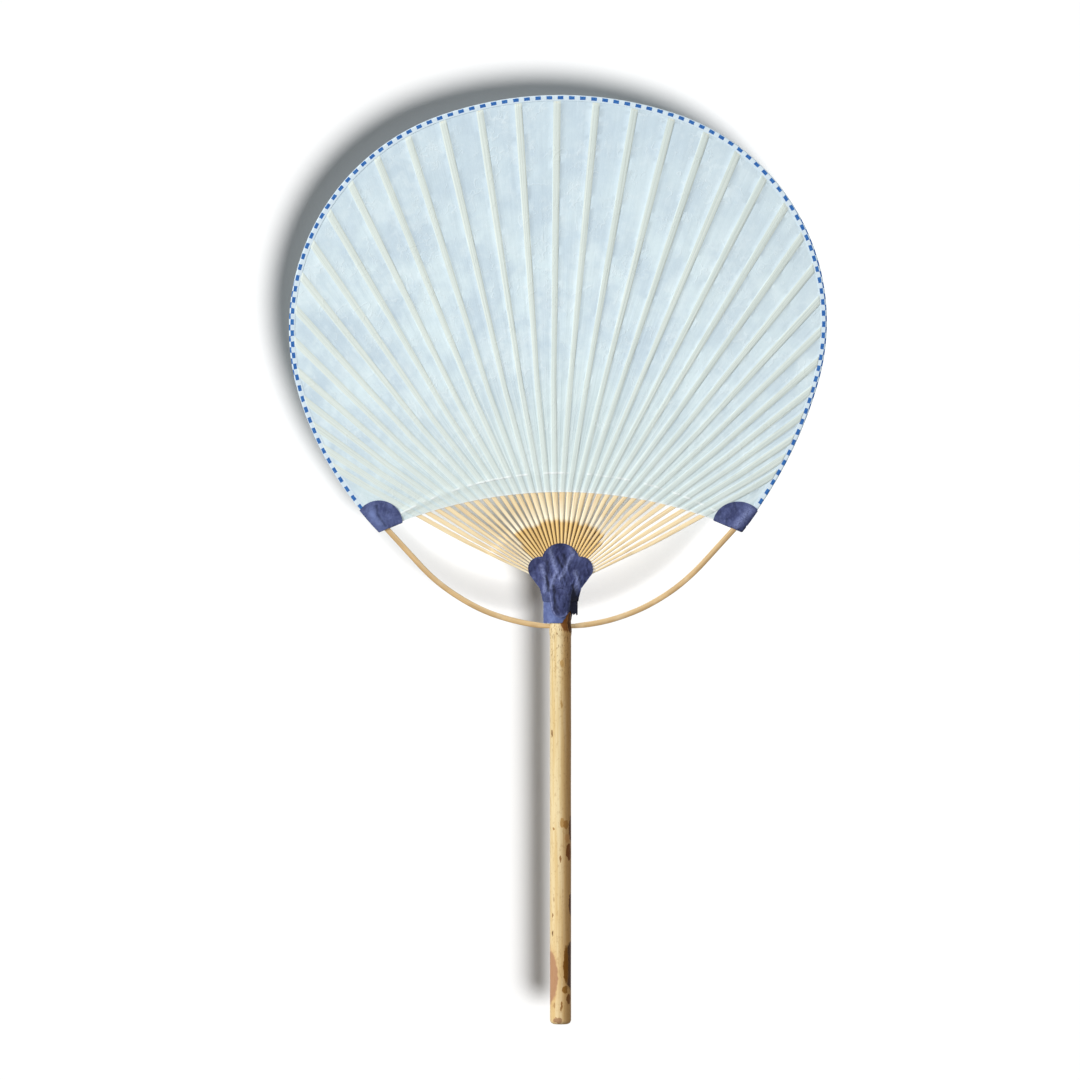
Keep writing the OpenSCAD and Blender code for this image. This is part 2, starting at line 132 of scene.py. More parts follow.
camera = bpy.data.objects.new("camera", bpy.data.cameras.new("camera"))
scene.collection.objects.link(camera)
camera.data.lens = 180
camera.data.sensor_width = 36
camera.location = (-9.5 * mm, -499.9 * mm * 180 / 36, 134.0 * mm)
camera.rotation_euler = (pi / 2, 0, 0)
scene.camera = camera

# Handle: one length of thin bamboo culm, cut square and rounded at the lower end, with a slight joint ring
# under the neck. It is hollow above its closed lower joint, and drilled across for the bow.
handle_r, bore_r = 4.9, 2.6
handle_low, handle_top, ring_z, bow_hole_z = -90.0, 106.5, 92.2, 94.08


def start(name, primitive, stretch=(1, 1, 1), **size):
    """Adds a primitive alone and named, its place in its mesh, and opens it with everything selected"""
    bpy.ops.object.select_all(action="DESELECT")
    primitive(**size)
    piece = bpy.context.object
    piece.scale = stretch
    piece.name = piece.data.name = name
    bpy.ops.object.transform_apply()
    bpy.ops.object.mode_set(mode="EDIT")
    bpy.ops.mesh.select_all(action="SELECT")
    return piece


def pick(piece, wanted):
    """Selects, in edit mode, the corners whose place passes the test, with what lies between them"""
    net = bmesh.from_edit_mesh(piece.data)
    bpy.ops.mesh.select_all(action="DESELECT")
    for corner_point in net.verts:
        corner_point.select_set(wanted(corner_point.co))
    net.select_flush(True)
    bmesh.update_edit_mesh(piece.data)


def apply_all(piece):
    for modifier in list(piece.modifiers):
        bpy.ops.object.modifier_apply(modifier=modifier.name)


def fit(piece, finish, slot, *nodes, angle=45):
    """Closes a finished piece, smooths it, gives it its finish, and fixes it to the fan"""
    if piece.mode == "EDIT":
        bpy.ops.object.mode_set(mode="OBJECT")
    bpy.ops.object.select_all(action="DESELECT")
    piece.select_set(True)
    bpy.context.view_layer.objects.active = piece
    bpy.ops.object.shade_smooth_by_angle(angle=radians(angle))
    piece.data.materials.clear()
    piece.data.materials.append(finish)
    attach(piece, "root")
    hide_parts(*nodes)


def finish_for(name, roughness, specular=0.3):
    """An empty finish: its tree and its shader"""
    made = bpy.data.materials.new(name)
    made.use_nodes = True
    shader = made.node_tree.nodes["Principled BSDF"]
    shader.inputs["Roughness"].default_value = roughness
    shader.inputs["Specular IOR Level"].default_value = specular
    return made, made.node_tree, shader


def mixed(tree, share, under, over, blend="MIX"):
    """One colour laid over another by a share"""
    made = step(tree, "Mix", data_type="RGBA", blend_type=blend)
    for place, value in ((0, share), (6, under), (7, over)):
        if isinstance(value, bpy.types.NodeSocket):
            tree.links.new(value, made.inputs[place])
        else:
            made.inputs[place].default_value = value
    return made.outputs[2]


def between(tree, value, low, high, smooth=True):
    """0 where the value is at low, 1 where it is at high"""
    return step(tree, "MapRange", {"Value": value, "From Min": low, "From Max": high},
                interpolation_type="SMOOTHSTEP" if smooth else "LINEAR").outputs[0]


def times(tree, a, b):
    return step(tree, "Math", {0: a, 1: b}, operation="MULTIPLY").outputs[0]


def stretched(tree, place, x, y, z):
    return step(tree, "VectorMath", {0: place, 1: (x, y, z)}, operation="MULTIPLY").outputs[0]


def cloud(tree, place, scale, detail=3.0, rough=0.55):
    return step(tree, "TexNoise", {"Vector": place, "Scale": scale, "Detail": detail, "Roughness": rough}).outputs[0]


def relief(tree, shader, *layers):
    """Stacks fine reliefs, each with its height in millimetres"""
    last = None
    for height, depth in layers:
        bump = step(tree, "Bump", {"Height": height, "Strength": 1.0, "Distance": depth * mm})
        if last:
            tree.links.new(last, bump.inputs["Normal"])
        last = bump.outputs[0]
    tree.links.new(last, shader.inputs["Normal"])


handle = start("bamboo_handle", bpy.ops.mesh.primitive_circle_add, vertices=64, radius=2.9 * mm,
               fill_type="NGON", location=(0, 0, handle_low * mm))
heights = [handle_low + 2 - 2 * cos(radians(a)) for a in (18, 36, 54, 72, 90)]
heights += [handle_low + 2 + 4 * k for k in range(1, 44)] + [88.5, 89.2, 89.9, 90.7, 91.5, 92.2, 92.9, 93.7, 94.5]
heights += [95.2, 95.9, 99, 102.5, handle_top]


def handle_radius(z):
    low = z - handle_low
    round_in = 2 - sqrt(4 - (2 - low) ** 2) if low < 2 else 0
    ring = 0.32 * max(0, cos((z - ring_z) / 3.2 * pi / 2)) ** 1.5 if abs(z - ring_z) < 3.2 else 0
    return handle_r - round_in + ring


last_z, last_r = handle_low, 2.9
for z in heights:
    bpy.ops.mesh.extrude_region_move(TRANSFORM_OT_translate={"value": (0, 0, (z - last_z) * mm)})
    grow = handle_radius(z) / last_r
    bpy.ops.transform.resize(value=(grow, grow, 1), center_override=(0, 0, z * mm))
    last_z, last_r = z, handle_radius(z)
bpy.ops.mesh.inset(thickness=(handle_r - bore_r) * mm)
bpy.ops.mesh.extrude_region_move(TRANSFORM_OT_translate={"value": (0, 0, (-handle_top - 82) * mm)})
bpy.ops.mesh.select_all(action="SELECT")
bpy.ops.mesh.normals_make_consistent(inside=False)
bpy.ops.object.mode_set(mode="OBJECT")
for point in handle.data.vertices:
    x, y, z = point.co
    if hypot(x, y) > 3.5 * mm and z > -0.088:
        swell = 1 + 0.016 * noise.noise(Vector((x * 160, y * 160, z * 34)))
        point.co.x, point.co.y = x * swell, y * swell
bpy.ops.object.select_all(action="DESELECT")
bpy.ops.mesh.primitive_cylinder_add(vertices=32, radius=1.32 * mm, depth=24 * mm,
                                    location=(0, 0, bow_hole_z * mm), rotation=(0, pi / 2, 0))
drill = bpy.context.object
bpy.context.view_layer.objects.active = handle
handle.modifiers.new("cross_hole", "BOOLEAN").object = drill
apply_all(handle)
bpy.data.objects.remove(drill)

culm, tree, shader = finish_for("spotted_bamboo", 0.5, 0.1)
place = step(tree, "TexCoord").outputs["Object"]
parts = step(tree, "SeparateXYZ", {0: place})
back = step(tree, "Math", {0: parts.outputs["Y"], 1: -1.0}, operation="MULTIPLY").outputs[0]
turn = step(tree, "Math", {0: parts.outputs["X"], 1: back}, operation="ARCTAN2").outputs[0]
around = step(tree, "Math", {0: turn, 1: handle_r * mm}, operation="MULTIPLY").outputs[0]
flat = step(tree, "CombineXYZ", {"X": around, "Y": parts.outputs["Z"]}).outputs[0]
ragged = step(tree, "TexNoise", {"Vector": place, "Scale": 520.0, "Detail": 2.0})
drift = step(tree, "VectorMath", {0: ragged.outputs["Color"], 1: (0.5, 0.5, 0.5)}, operation="SUBTRACT").outputs[0]
drift = stretched(tree, drift, 0.0016, 0.0030, 0)
skin = step(tree, "VectorMath", {0: flat, 1: drift}, operation="ADD").outputs[0]
long_grain = cloud(tree, stretched(tree, place, 1, 1, 0.012), 3600.0, 3.0)
broad_grain = cloud(tree, stretched(tree, place, 1, 1, 0.05), 520.0, 2.0)
colour = mixed(tree, between(tree, broad_grain, 0.35, 0.68), tone(228, 210, 166), tone(213, 187, 134))
colour = mixed(tree, times(tree, between(tree, long_grain, 0.48, 0.75), 0.35), colour, tone(188, 150, 94))
# Painted shade: the handle's right side, away from the key lamp, is coloured a darker brown
right_side_shade = between(tree, parts.outputs["X"], -0.0012, 0.0040)
colour = mixed(tree, times(tree, right_side_shade, 0.8), colour, tone(186, 136, 74))
warm = between(tree, parts.outputs["Z"], 0.02, -0.085, smooth=False)
colour = mixed(tree, times(tree, warm, 0.22), colour, tone(218, 172, 112))
# Where the sheath and the mould stained the culm: around it, along it, half width, half length, colour
stains = [(0.7, 77.2, 0.9, 1.6, (190, 152, 92)), (0.5, 58.3, 0.5, 1.8, (176, 138, 80)),
          (-4.6, 44.1, 0.5, 1.7, (120, 84, 44)), (0.8, 3.4, 1.1, 2.4, (180, 140, 82)),
          (2.9, 2.6, 1.5, 1.9, (164, 116, 58)), (5.9, 0.4, 1.5, 6.0, (86, 42, 12)),
          (3.6, -3.9, 1.5, 1.9, (190, 142, 88)), (4.5, -10.2, 1.7, 4.2, (112, 60, 14)),
          (6.1, -34.4, 1.9, 5.2, (78, 34, 4)), (6.6, -62.7, 5.2, 11.5, (62, 25, 2)),
          (2.7, -62.4, 1.2, 8.6, (126, 80, 22)), (-6.2, -67.9, 5.0, 12.4, (174, 130, 98)),
          (2.2, -73.9, 1.5, 2.1, (142, 96, 34)), (4.4, -78.0, 1.4, 2.4, (120, 74, 28)),
          (0.4, -81.4, 0.6, 2.4, (146, 102, 52)), (-1.7, -88.0, 2.2, 1.5, (160, 122, 90)),
          (3.2, 97.9, 3.8, 6.4, (118, 66, 20)), (5.0, 95.4, 1.6, 4.4, (58, 26, 6)),
          (-3.6, 0.3, 0.6, 1.0, (160, 118, 66)), (-0.1, -13.3, 0.4, 1.6, (140, 98, 52)),
          (-4.1, -39.6, 0.4, 1.2, (130, 88, 44)), (-4.0, -47.5, 0.4, 1.4, (96, 62, 30)),
          (12.0, -20.0, 3.2, 7.5, (104, 58, 22)), (-13.2, 22.0, 2.6, 6.0, (168, 122, 70)),
          (14.6, 48.0, 1.4, 3.6, (112, 68, 30)), (-11.0, -52.0, 1.6, 4.4, (120, 76, 36))]
for u, z, wide, tall, paint in stains:
    off = step(tree, "VectorMath", {0: skin, 1: (u * mm, z * mm, 0)}, operation="SUBTRACT").outputs[0]
    reach = step(tree, "VectorMath", {0: stretched(tree, off, 1000 / wide, 1000 / tall, 0)}, operation="LENGTH")
    mask = between(tree, reach.outputs["Value"], 1.08, 0.90)
    rim = times(tree, between(tree, reach.outputs["Value"], 1.35, 0.95), 0.3)
    colour = mixed(tree, rim, colour, tone(206, 160, 100))
    colour = mixed(tree, times(tree, mask, 0.92), colour, tone(*paint))
speck_cells = step(tree, "TexVoronoi", {"Vector": stretched(tree, place, 1, 1, 0.42), "Scale": 230.0,
                                        "Randomness": 1.0})
speck = between(tree, speck_cells.outputs["Distance"], 0.17, 0.08)
sparse = between(tree, cloud(tree, place, 95.0, 1.0), 0.52, 0.60)
colour = mixed(tree, times(tree, times(tree, speck, sparse), 0.6), colour, tone(150, 104, 58))
blotch = cloud(tree, stretched(tree, place, 1, 1, 0.5), 900.0, 3.0, 0.65)
near_neck = between(tree, parts.outputs["Z"], 0.060, 0.086)
fleck = between(tree, cloud(tree, stretched(tree, place, 1, 1, 0.35), 1500.0, 2.0), 0.56, 0.66)
colour = mixed(tree, times(tree, times(tree, fleck, near_neck), 0.7), colour, tone(132, 92, 50))
colour = mixed(tree, times(tree, between(tree, blotch, 0.52, 0.70), 0.30), colour, tone(158, 116, 66))
tree.links.new(colour, shader.inputs["Base Color"])
relief(tree, shader, (long_grain, 0.05), (speck, -0.03), (broad_grain, 0.10))
fit(handle, culm, "handle_bamboo", "handle", angle=40)

# Rib head: the stretch of culm above the handle that is split into ribs. It is a wedge with a tenon in the
# handle's hollow, under the indigo papers, and keeps its built shape with a raw split-bamboo finish.
head_finish, tree, shader = finish_for("raw_culm", 0.6)
place = step(tree, "TexCoord").outputs["Object"]
grain = cloud(tree, stretched(tree, place, 1, 1, 0.02), 3200.0, 3.0)
colour = mixed(tree, between(tree, grain, 0.35, 0.7), tone(238, 208, 150), tone(198, 152, 88))
tree.links.new(colour, shader.inputs["Base Color"])
relief(tree, shader, (grain, 0.08))
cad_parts["rib_head"].data.materials.clear()
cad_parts["rib_head"].data.materials.append(head_finish)

# Ribs: thirty-four splints whittled from the same culm. Each is thick and narrow at its root on the head, is
# thinned on both faces halfway to the paper, bends twice, and ends just inside the rim tape.
rib_count = 34
spread = 2 / (rib_count - 1)
fan_pole, head_pole, edge_c, edge_r = (0.0, 104.5), (0.0, 114.0), (0.0, -48.0), 204.0
leaf_corner = (83.8, edge_c[1] + sqrt(edge_r ** 2 - 83.8 ** 2))
outer_angle = degrees(atan2(leaf_corner[0], leaf_corner[1] - fan_pole[1])) - 9.3
crown_c, crown_r, crown_angle, side_angle = (0.0, 171.0), 169.0, 19.0, 106.0


def polar(c, r, a):
    return (c[0] + r * sin(radians(a)), c[1] + r * cos(radians(a)))


def heading(a, b):
    """Angle of the way from a to b, from straight up and growing to the right"""
    return degrees(atan2(b[0] - a[0], b[1] - a[1]))


def apart(a, b):
    return hypot(b[0] - a[0], b[1] - a[1])


def part_way(a, b, t):
    return (a[0] + (b[0] - a[0]) * t, a[1] + (b[1] - a[1]) * t)


def rim_side(half_width):
    """Arcs of one half of the rim, from the top down: centre, radius, first and last angle"""
    side_r = (half_width - crown_r * sin(radians(crown_angle))) / (1 - sin(radians(crown_angle)))
    side_c = polar(crown_c, crown_r - side_r, crown_angle)
    end = polar(side_c, side_r, side_angle)
    run = (leaf_corner[0] - end[0], leaf_corner[1] - end[1])
    low_r = (run[0] ** 2 + run[1] ** 2) * side_r / 2 / (run[0] * (side_c[0] - end[0]) + run[1] * (side_c[1] - end[1]))
    low_c = polar(side_c, side_r - low_r, side_angle)
    return [(crown_c, crown_r, 0.0, crown_angle), (side_c, side_r, crown_angle, side_angle),
            (low_c, low_r, side_angle, heading(low_c, leaf_corner))]


rim_right, rim_left = rim_side(123.3), rim_side(125.7)
rim_arcs = [(c, r, a, b) for c, r, a, b in rim_right]
rim_arcs += [((-c[0], c[1]), r, -b, -a) for c, r, a, b in rim_left]


def rim_hit(start_at, angle, inside):
    """Where the line from a point along an angle meets the rim, some way inside it"""
    d = (sin(radians(angle)), cos(radians(angle)))
    for c, r, a, b in rim_arcs:
        f = (start_at[0] - c[0], start_at[1] - c[1])
        along = f[0] * d[0] + f[1] * d[1]
        under = along * along - (f[0] ** 2 + f[1] ** 2 - (r - inside) ** 2)
        if under > 0:
            t = -along + sqrt(under)
            hit = (start_at[0] + t * d[0], start_at[1] + t * d[1])
            if a - 0.02 <= heading(c, hit) <= b + 0.02:
                return hit
    return leaf_corner if angle > 0 else (-leaf_corner[0], leaf_corner[1])


def fanned(u, outer, bunch, sway):
    return (outer + bunch) * u - bunch * u ** 3 + sway * (1 - u * u)


def rib_line(u, inside):
    """Root, two bends and tip of the rib at u, from -1 at the left to 1 at the right"""
    bend = polar(fan_pole, 51.8, fanned(u, outer_angle - 2.2, 4.2, -1))
    second = polar(fan_pole, 102.8, fanned(u, outer_angle, 12, 0.4))
    return [polar(head_pole, 13.6, 73 * u), bend, second,
            rim_hit(second, fanned(u, outer_angle, 17, 3), inside)]


def follow(line, distance):
    """Point and direction at a distance along a line of points"""
    for a, b in zip(line, line[1:]):
        run = apart(a, b)
        if distance <= run or b == line[-1]:
            return part_way(a, b, distance / run), ((b[0] - a[0]) / run, (b[1] - a[1]) / run)
        distance -= run


def length(line):
    return sum(apart(a, b) for a, b in zip(line, line[1:]))


def lerp(value, table):
    for (a, va), (b, vb) in zip(table, table[1:]):
        if value <= b:
            return va + (vb - va) * max(0, value - a) / (b - a)
    return table[-1][1]


def write_uv(piece, rule):
    """Lays the piece out for its grain: rule gives a place on the strip for each corner"""
    layer = piece.data.uv_layers.get("UVMap") or piece.data.uv_layers.new(name="UVMap")
    where = [rule(point) for point in piece.data.vertices]
    for loop in piece.data.loops:
        layer.data[loop.index].uv = where[loop.vertex_index]


def split_bamboo(name, pale, gold, dark):
    """Split bamboo with the fibres along the strip: gold where the skin is left, pale where it is whittled, with
    near-white painted highlights, painted shade on the sides and darker edges
    """
    made, tree, shader = finish_for(name, 0.46, 0.4)
    lay = step(tree, "TexCoord").outputs["UV"]
    fibre = cloud(tree, stretched(tree, lay, 60, 5200, 0), 1.0, 3.0)
    streak = cloud(tree, stretched(tree, lay, 18, 1500, 0), 1.0, 2.0)
    place = step(tree, "TexCoord").outputs["Object"]
    skin_left = step(tree, "Attribute", attribute_name="skin_left").outputs["Fac"]
    colour = mixed(tree, skin_left, tone(*pale), tone(*gold))
    colour = mixed(tree, times(tree, between(tree, fibre, 0.45, 0.72), 0.45), colour, tone(*dark))
    colour = mixed(tree, times(tree, between(tree, streak, 0.5, 0.75), 0.35), colour, tone(*dark))
    colour = mixed(tree, times(tree, between(tree, cloud(tree, place, 90.0), 0.5, 0.75), 0.25), colour,
                   tone(246, 232, 200))
    # Painted highlight: near-white glints on the whittled slopes
    painted_glint = step(tree, "Attribute", attribute_name="painted_glint").outputs["Fac"]
    colour = mixed(tree, times(tree, painted_glint, 0.8), colour, tone(255, 248, 224))
    # Painted shade on the ribs' sides where they close up near the root, and a darker strip along the bow's lower edge
    shade_and_dark_edge = step(tree, "Attribute", attribute_name="shade_and_dark_edge").outputs["Fac"]
    colour = mixed(tree, shade_and_dark_edge, colour, tone(98, 64, 22))
    tree.links.new(colour, shader.inputs["Base Color"])
    relief(tree, shader, (fibre, 0.06), (streak, 0.08))
    return made


def write_mark(piece, name, rule):
    """A share per corner, which the finish reads as paint, wear, tint, or painted light and shade"""
    mark = piece.data.attributes.new(name, "FLOAT", "POINT")
    mark.data.foreach_set("value", [rule(point) for point in piece.data.vertices])


rib_finish = split_bamboo("split_bamboo_ribs", (249, 228, 184), (246, 208, 134), (176, 126, 62))
pattern_steps = 44
pattern = start("rib_pattern", bpy.ops.mesh.primitive_cube_add, size=1, stretch=(1, 1, 1 / pattern_steps),
                location=(0, 0, 0.5 / pattern_steps))
net = bmesh.from_edit_mesh(pattern.data)
bpy.ops.mesh.select_all(action="DESELECT")
bpy.ops.mesh.select_mode(type="EDGE")
for edge in net.edges:
    edge.select_set(abs(edge.verts[0].co.z - edge.verts[1].co.z) > 0.01)
bmesh.update_edit_mesh(pattern.data)
bpy.ops.mesh.bevel(offset=0.15, segments=2)
bpy.ops.mesh.select_mode(type="VERT")
pick(pattern, lambda co: co.z > 0.5 / pattern_steps)
for k in range(pattern_steps - 1):
    bpy.ops.mesh.extrude_region_move(TRANSFORM_OT_translate={"value": (0, 0, 1 / pattern_steps)})
bpy.ops.mesh.select_all(action="SELECT")
bpy.ops.mesh.normals_make_consistent(inside=False)
bpy.ops.object.mode_set(mode="OBJECT")


def rib_width(distance, far):
    return lerp(distance, [(0, 0.86), (40, 2.06), (91, 1.9), (far + 20, 2.3)])


for i in range(1, rib_count + 1):
    u = (2 * i - rib_count - 1) / (rib_count - 1)
    line = rib_line(u, 3.3)
    far = length(line)
    rib = pattern.copy()
    rib.data = pattern.data.copy()
    rib.name = rib.data.name = f"split_rib_{i:02d}"
    scene.collection.objects.link(rib)
    lay, skin_share, glint_share, shade_and_edge_share = [], [], [], []
    beside = rib_line(u - spread if u > 0 else u + spread, 3.3)
    start_cut = 2.6 * noise.noise(Vector((i * 3.7, 0.3, 2.0))) - lerp(abs(u), [(0, 0), (0.61, 0), (0.69, 17), (1, 21)])
    # Painted highlight: how strongly this rib's whittled slope is painted near-white, more on the left ribs that face
    # the key lamp
    glint_strength = max(0.25, min(1, 0.85 - 0.3 * u + 0.8 * noise.noise(Vector((i * 5.3, 2.3, 2.0)))))
    glint_end = 49 + 10 * noise.noise(Vector((i * 2.9, 4.3, 1.0)))
    for point in rib.data.vertices:
        x, y, t = point.co
        on_side, on_round = abs(x) > 0.49, abs(x) > 0.37
        distance = lerp(t, [(0, 0), (0.08, 11), (0.46, 27), (0.60, 48), (1, far)])
        at, way = follow(line, distance)
        from_pole = apart(at, fan_pole)
        thick = lerp(from_pole, [(0, 2.38), (38, 2.38), (41.5, 0.9), (300, 0.86)])
        side = x * rib_width(distance, far)
        cut = from_pole - start_cut
        closed = lerp(cut, [(0, 1), (37.8, 1), (39.6, 0), (300, 0)])
        middle = max(0, 1 - (u / 0.5) ** 2) * lerp(from_pole, [(0, 1), (53, 1), (62, 0), (300, 0)])
        if on_side:
            room = (0.41 + 0.075 * closed) * apart(at, follow(beside, distance)[0])
            side += (1 if x > 0 else -1) * max(closed, middle) * max(0, room - abs(side))
            y *= 1 - 0.65 * max(closed, middle)
        lean = 0.10 * noise.noise(Vector((i * 7.3, distance * 0.06, 0.5))) * min(1, distance / 20)
        point.co = Vector(((at[0] + way[1] * (side + lean)) * mm, y * thick * mm,
                           (at[1] - way[0] * (side + lean)) * mm))
        lay.append((distance * mm, (side + y * thick + 6 * i) * mm))
        skin_share.append(lerp(cut, [(0, 1), (38.4, 1), (39.8, 0.25), (60, 0.05), (300, 0)]))
        glint_share.append(glint_strength * lerp(cut, [(0, 0), (37.8, 0), (38.8, 1), (42, 0.8), (glint_end, 0), (300, 0)]))
        # Painted shade: the rib sides go dark brown where the ribs close up near the root, as in deep narrow gaps;
        # farther out a fainter dark line stays on the sides
        shade = 0.95 * closed + 0.35 * (1 - closed) * (1 - 0.8 * middle)
        shade_and_edge_share.append(shade * (1 if on_side else 0.3 if on_round else 0))
    write_uv(rib, lambda point: lay[point.index])
    write_mark(rib, "skin_left", lambda point: skin_share[point.index])
    write_mark(rib, "painted_glint", lambda point: glint_share[point.index])
    write_mark(rib, "shade_and_dark_edge", lambda point: shade_and_edge_share[point.index])
    fit(rib, rib_finish, "split_bamboo", f"rib_{i:02d}", angle=50)
bpy.data.objects.remove(pattern)

# Bow: one long strip of split bamboo, bent through the handle's cross hole and sprung up to the leaf's two
# corners, where its ends go in under the ear papers. Its edges are lightly rounded.
bow_r, bow_mid, bow_w, bow_t, bow_straight, bow_tuck = 88.67, (0.0, 182.67), 2.1, 1.5, 22.5, 6.0
bow_in = (80.6, edge_c[1] + sqrt(edge_r ** 2 - 80.6 ** 2))
bow_turn = 180 - heading(bow_mid, bow_in) - degrees(atan2(bow_straight, bow_r))
bow_way = (cos(radians(bow_turn)), sin(radians(bow_turn)))
bow = start("bent_bow", bpy.ops.mesh.primitive_plane_add, size=1, location=(0, 0, 94 * mm),
            rotation=(0, pi / 2, 0), stretch=(bow_w * mm, bow_t * mm, 1))
bpy.ops.mesh.bevel(offset=0.30 * mm, segments=2, affect="VERTICES")
bpy.ops.mesh.spin(steps=44, angle=radians(bow_turn), center=(0, 0, bow_mid[1] * mm), axis=(0, 1, 0))
for k in range(6):
    run = (bow_straight + bow_tuck) / 6 * mm
    bpy.ops.mesh.extrude_region_move(TRANSFORM_OT_translate={"value": (run * bow_way[0], 0, run * bow_way[1])})
bpy.ops.object.mode_set(mode="OBJECT")
net = bmesh.new()
net.from_mesh(bow.data)
bmesh.ops.delete(net, geom=[face for face in net.faces if all(abs(v.co.x) < 1e-6 for v in face.verts)],
                 context="FACES_ONLY")
net.to_mesh(bow.data)
net.free()
bow.modifiers.new("other_half", "MIRROR").merge_threshold = 1e-5
apply_all(bow)
bpy.ops.object.mode_set(mode="EDIT")
bpy.ops.mesh.select_all(action="SELECT")
bpy.ops.mesh.remove_doubles(threshold=1e-6)
bpy.ops.mesh.normals_make_consistent(inside=False)
bpy.ops.object.mode_set(mode="OBJECT")


def bow_place(co):
    """How far along the bow a point is, and how far off its middle line"""
    x, z = abs(co.x) / mm, co.z / mm
    a = 180 - heading(bow_mid, (x, z))
    if a <= bow_turn:
        return bow_r * radians(a), apart(bow_mid, (x, z)) - bow_r
    end = polar(bow_mid, bow_r, 180 - bow_turn)
    dx, dz = x - end[0], z - end[1]
    return bow_r * radians(bow_turn) + dx * bow_way[0] + dz * bow_way[1], dx * bow_way[1] - dz * bow_way[0]


for point in bow.data.vertices:
    along, off = bow_place(point.co)
    side = 1 if point.co.x > 0 else -1
    widen = 0.22 * off * max(0, min(1, (along - 6) / 5))
    point.co.x += side * widen * sin(min(along / bow_r, radians(bow_turn))) * mm
    point.co.z -= widen * cos(min(along / bow_r, radians(bow_turn))) * mm
    if 8 < along < 88:
        point.co.z += 0.12 * noise.noise(Vector((along * 0.07 * side, 3.1, 0))) * mm
write_uv(bow, lambda point: (bow_place(point.co)[0] * mm * (1 if point.co.x > 0 else -1),
                             bow_place(point.co)[1] * mm + point.co.y))
write_mark(bow, "skin_left", lambda point: 0.7 if bow_place(point.co)[1] > 0.5 else 0.25)
write_mark(bow, "shade_and_dark_edge", lambda point: 0.22 if bow_place(point.co)[1] > 0.9 else 0.0)
bow_finish = split_bamboo("split_bamboo_bow", (232, 204, 154), (204, 164, 106), (156, 112, 60))
fit(bow, bow_finish, "split_bamboo", "bow", angle=50)

# Weaving thread: a cotton thread laid in front of the ribs and another behind them, dipping between the ribs,
# and tied round the bow's ends. The papers and the ears cover it.
knot_at = (bow_in[0] + 2.6 * bow_way[0], bow_in[1] + 2.6 * bow_way[1])
thread_top = (0.0, 165.0)
thread_r = ((knot_at[0] - thread_top[0]) ** 2 + (knot_at[1] - thread_top[1]) ** 2) / 2 / (thread_top[1] - knot_at[1])
thread_c = (0.0, thread_top[1] - thread_r)
thread_turn = heading(thread_c, knot_at)
rib_lines = [rib_line((2 * i - rib_count - 1) / (rib_count - 1), 3.3) for i in range(1, rib_count + 1)]


def rib_gap(x, z):
    """Distance in the leaf's plane from a point to the nearest rib's middle line"""
    best = 99.0
    for line in rib_lines:
        for a, b in zip(line, line[1:]):
            run = apart(a, b)
            t = max(0, min(1, ((x - a[0]) * (b[0] - a[0]) + (z - a[1]) * (b[1] - a[1])) / run / run))
            best = min(best, apart((x, z), part_way(a, b, t)))
    return best


thread = start("weaving_thread_strands", bpy.ops.mesh.primitive_circle_add, vertices=8, radius=0.5,
               rotation=(0, pi / 2, 0), location=(0, 0, thread_top[1] * mm), stretch=(0.8 * mm, 0.3 * mm, 1))
bpy.ops.mesh.spin(steps=150, angle=radians(-thread_turn), center=(0, 0, thread_c[1] * mm), axis=(0, 1, 0))
bpy.ops.object.mode_set(mode="OBJECT")
thread.modifiers.new("left_half", "MIRROR").merge_threshold = 1e-5
apply_all(thread)
for point in thread.data.vertices:
    on_rib = max(0, 1 - max(0, rib_gap(point.co.x / mm, point.co.z / mm) - 0.9) / 0.8)
    point.co.y -= (0.17 + 0.45 * on_rib) * mm
thread.modifiers.new("behind", "MIRROR").use_axis = (False, True, False)
apply_all(thread)
for side in (-1, 1):
    for turn_no in (-1, 0, 1):
        bpy.ops.object.select_all(action="DESELECT")
        bpy.ops.mesh.primitive_torus_add(major_segments=24, minor_segments=8, major_radius=1.0, minor_radius=0.3)
        loop_of_thread = bpy.context.object
        for point in loop_of_thread.data.vertices:
            a = atan2(point.co.y, point.co.x)
            square = (abs(cos(a)) ** 4 + abs(sin(a)) ** 4) ** -0.25
            u, v, w = point.co.x * square * 1.14 * mm, point.co.y * square * 0.94 * mm, point.co.z * mm
            s = w + turn_no * 0.62 * mm
            point.co = Vector((side * (knot_at[0] * mm + s * bow_way[0] - u * bow_way[1]), v,
                               knot_at[1] * mm + s * bow_way[1] + u * bow_way[0]))
        thread.select_set(True)
        bpy.context.view_layer.objects.active = thread
        bpy.ops.object.join()
bpy.ops.object.mode_set(mode="EDIT")
bpy.ops.mesh.select_all(action="SELECT")
bpy.ops.mesh.normals_make_consistent(inside=False)
bpy.ops.object.mode_set(mode="OBJECT")
cotton, tree, shader = finish_for("cotton_thread", 0.9, 0.15)
place = step(tree, "TexCoord").outputs["Object"]
twist = step(tree, "TexWave", {"Vector": place, "Scale": 420.0, "Distortion": 1.5}, bands_direction="DIAGONAL")
colour = mixed(tree, between(tree, twist.outputs["Fac"], 0.2, 0.8), tone(206, 200, 184), tone(238, 234, 220))
tree.links.new(colour, shader.inputs["Base Color"])
relief(tree, shader, (twist.outputs["Fac"], 0.08))
fit(thread, cotton, "thread", "weaving_thread", angle=70)

# Papers: a sheet of pale blue paper pasted on each face, drawn tight over the ribs so that each one shows as a
# raised cream stripe, with soft sags, pleats and puckers between them and the thread's line across.
sag = 0.15


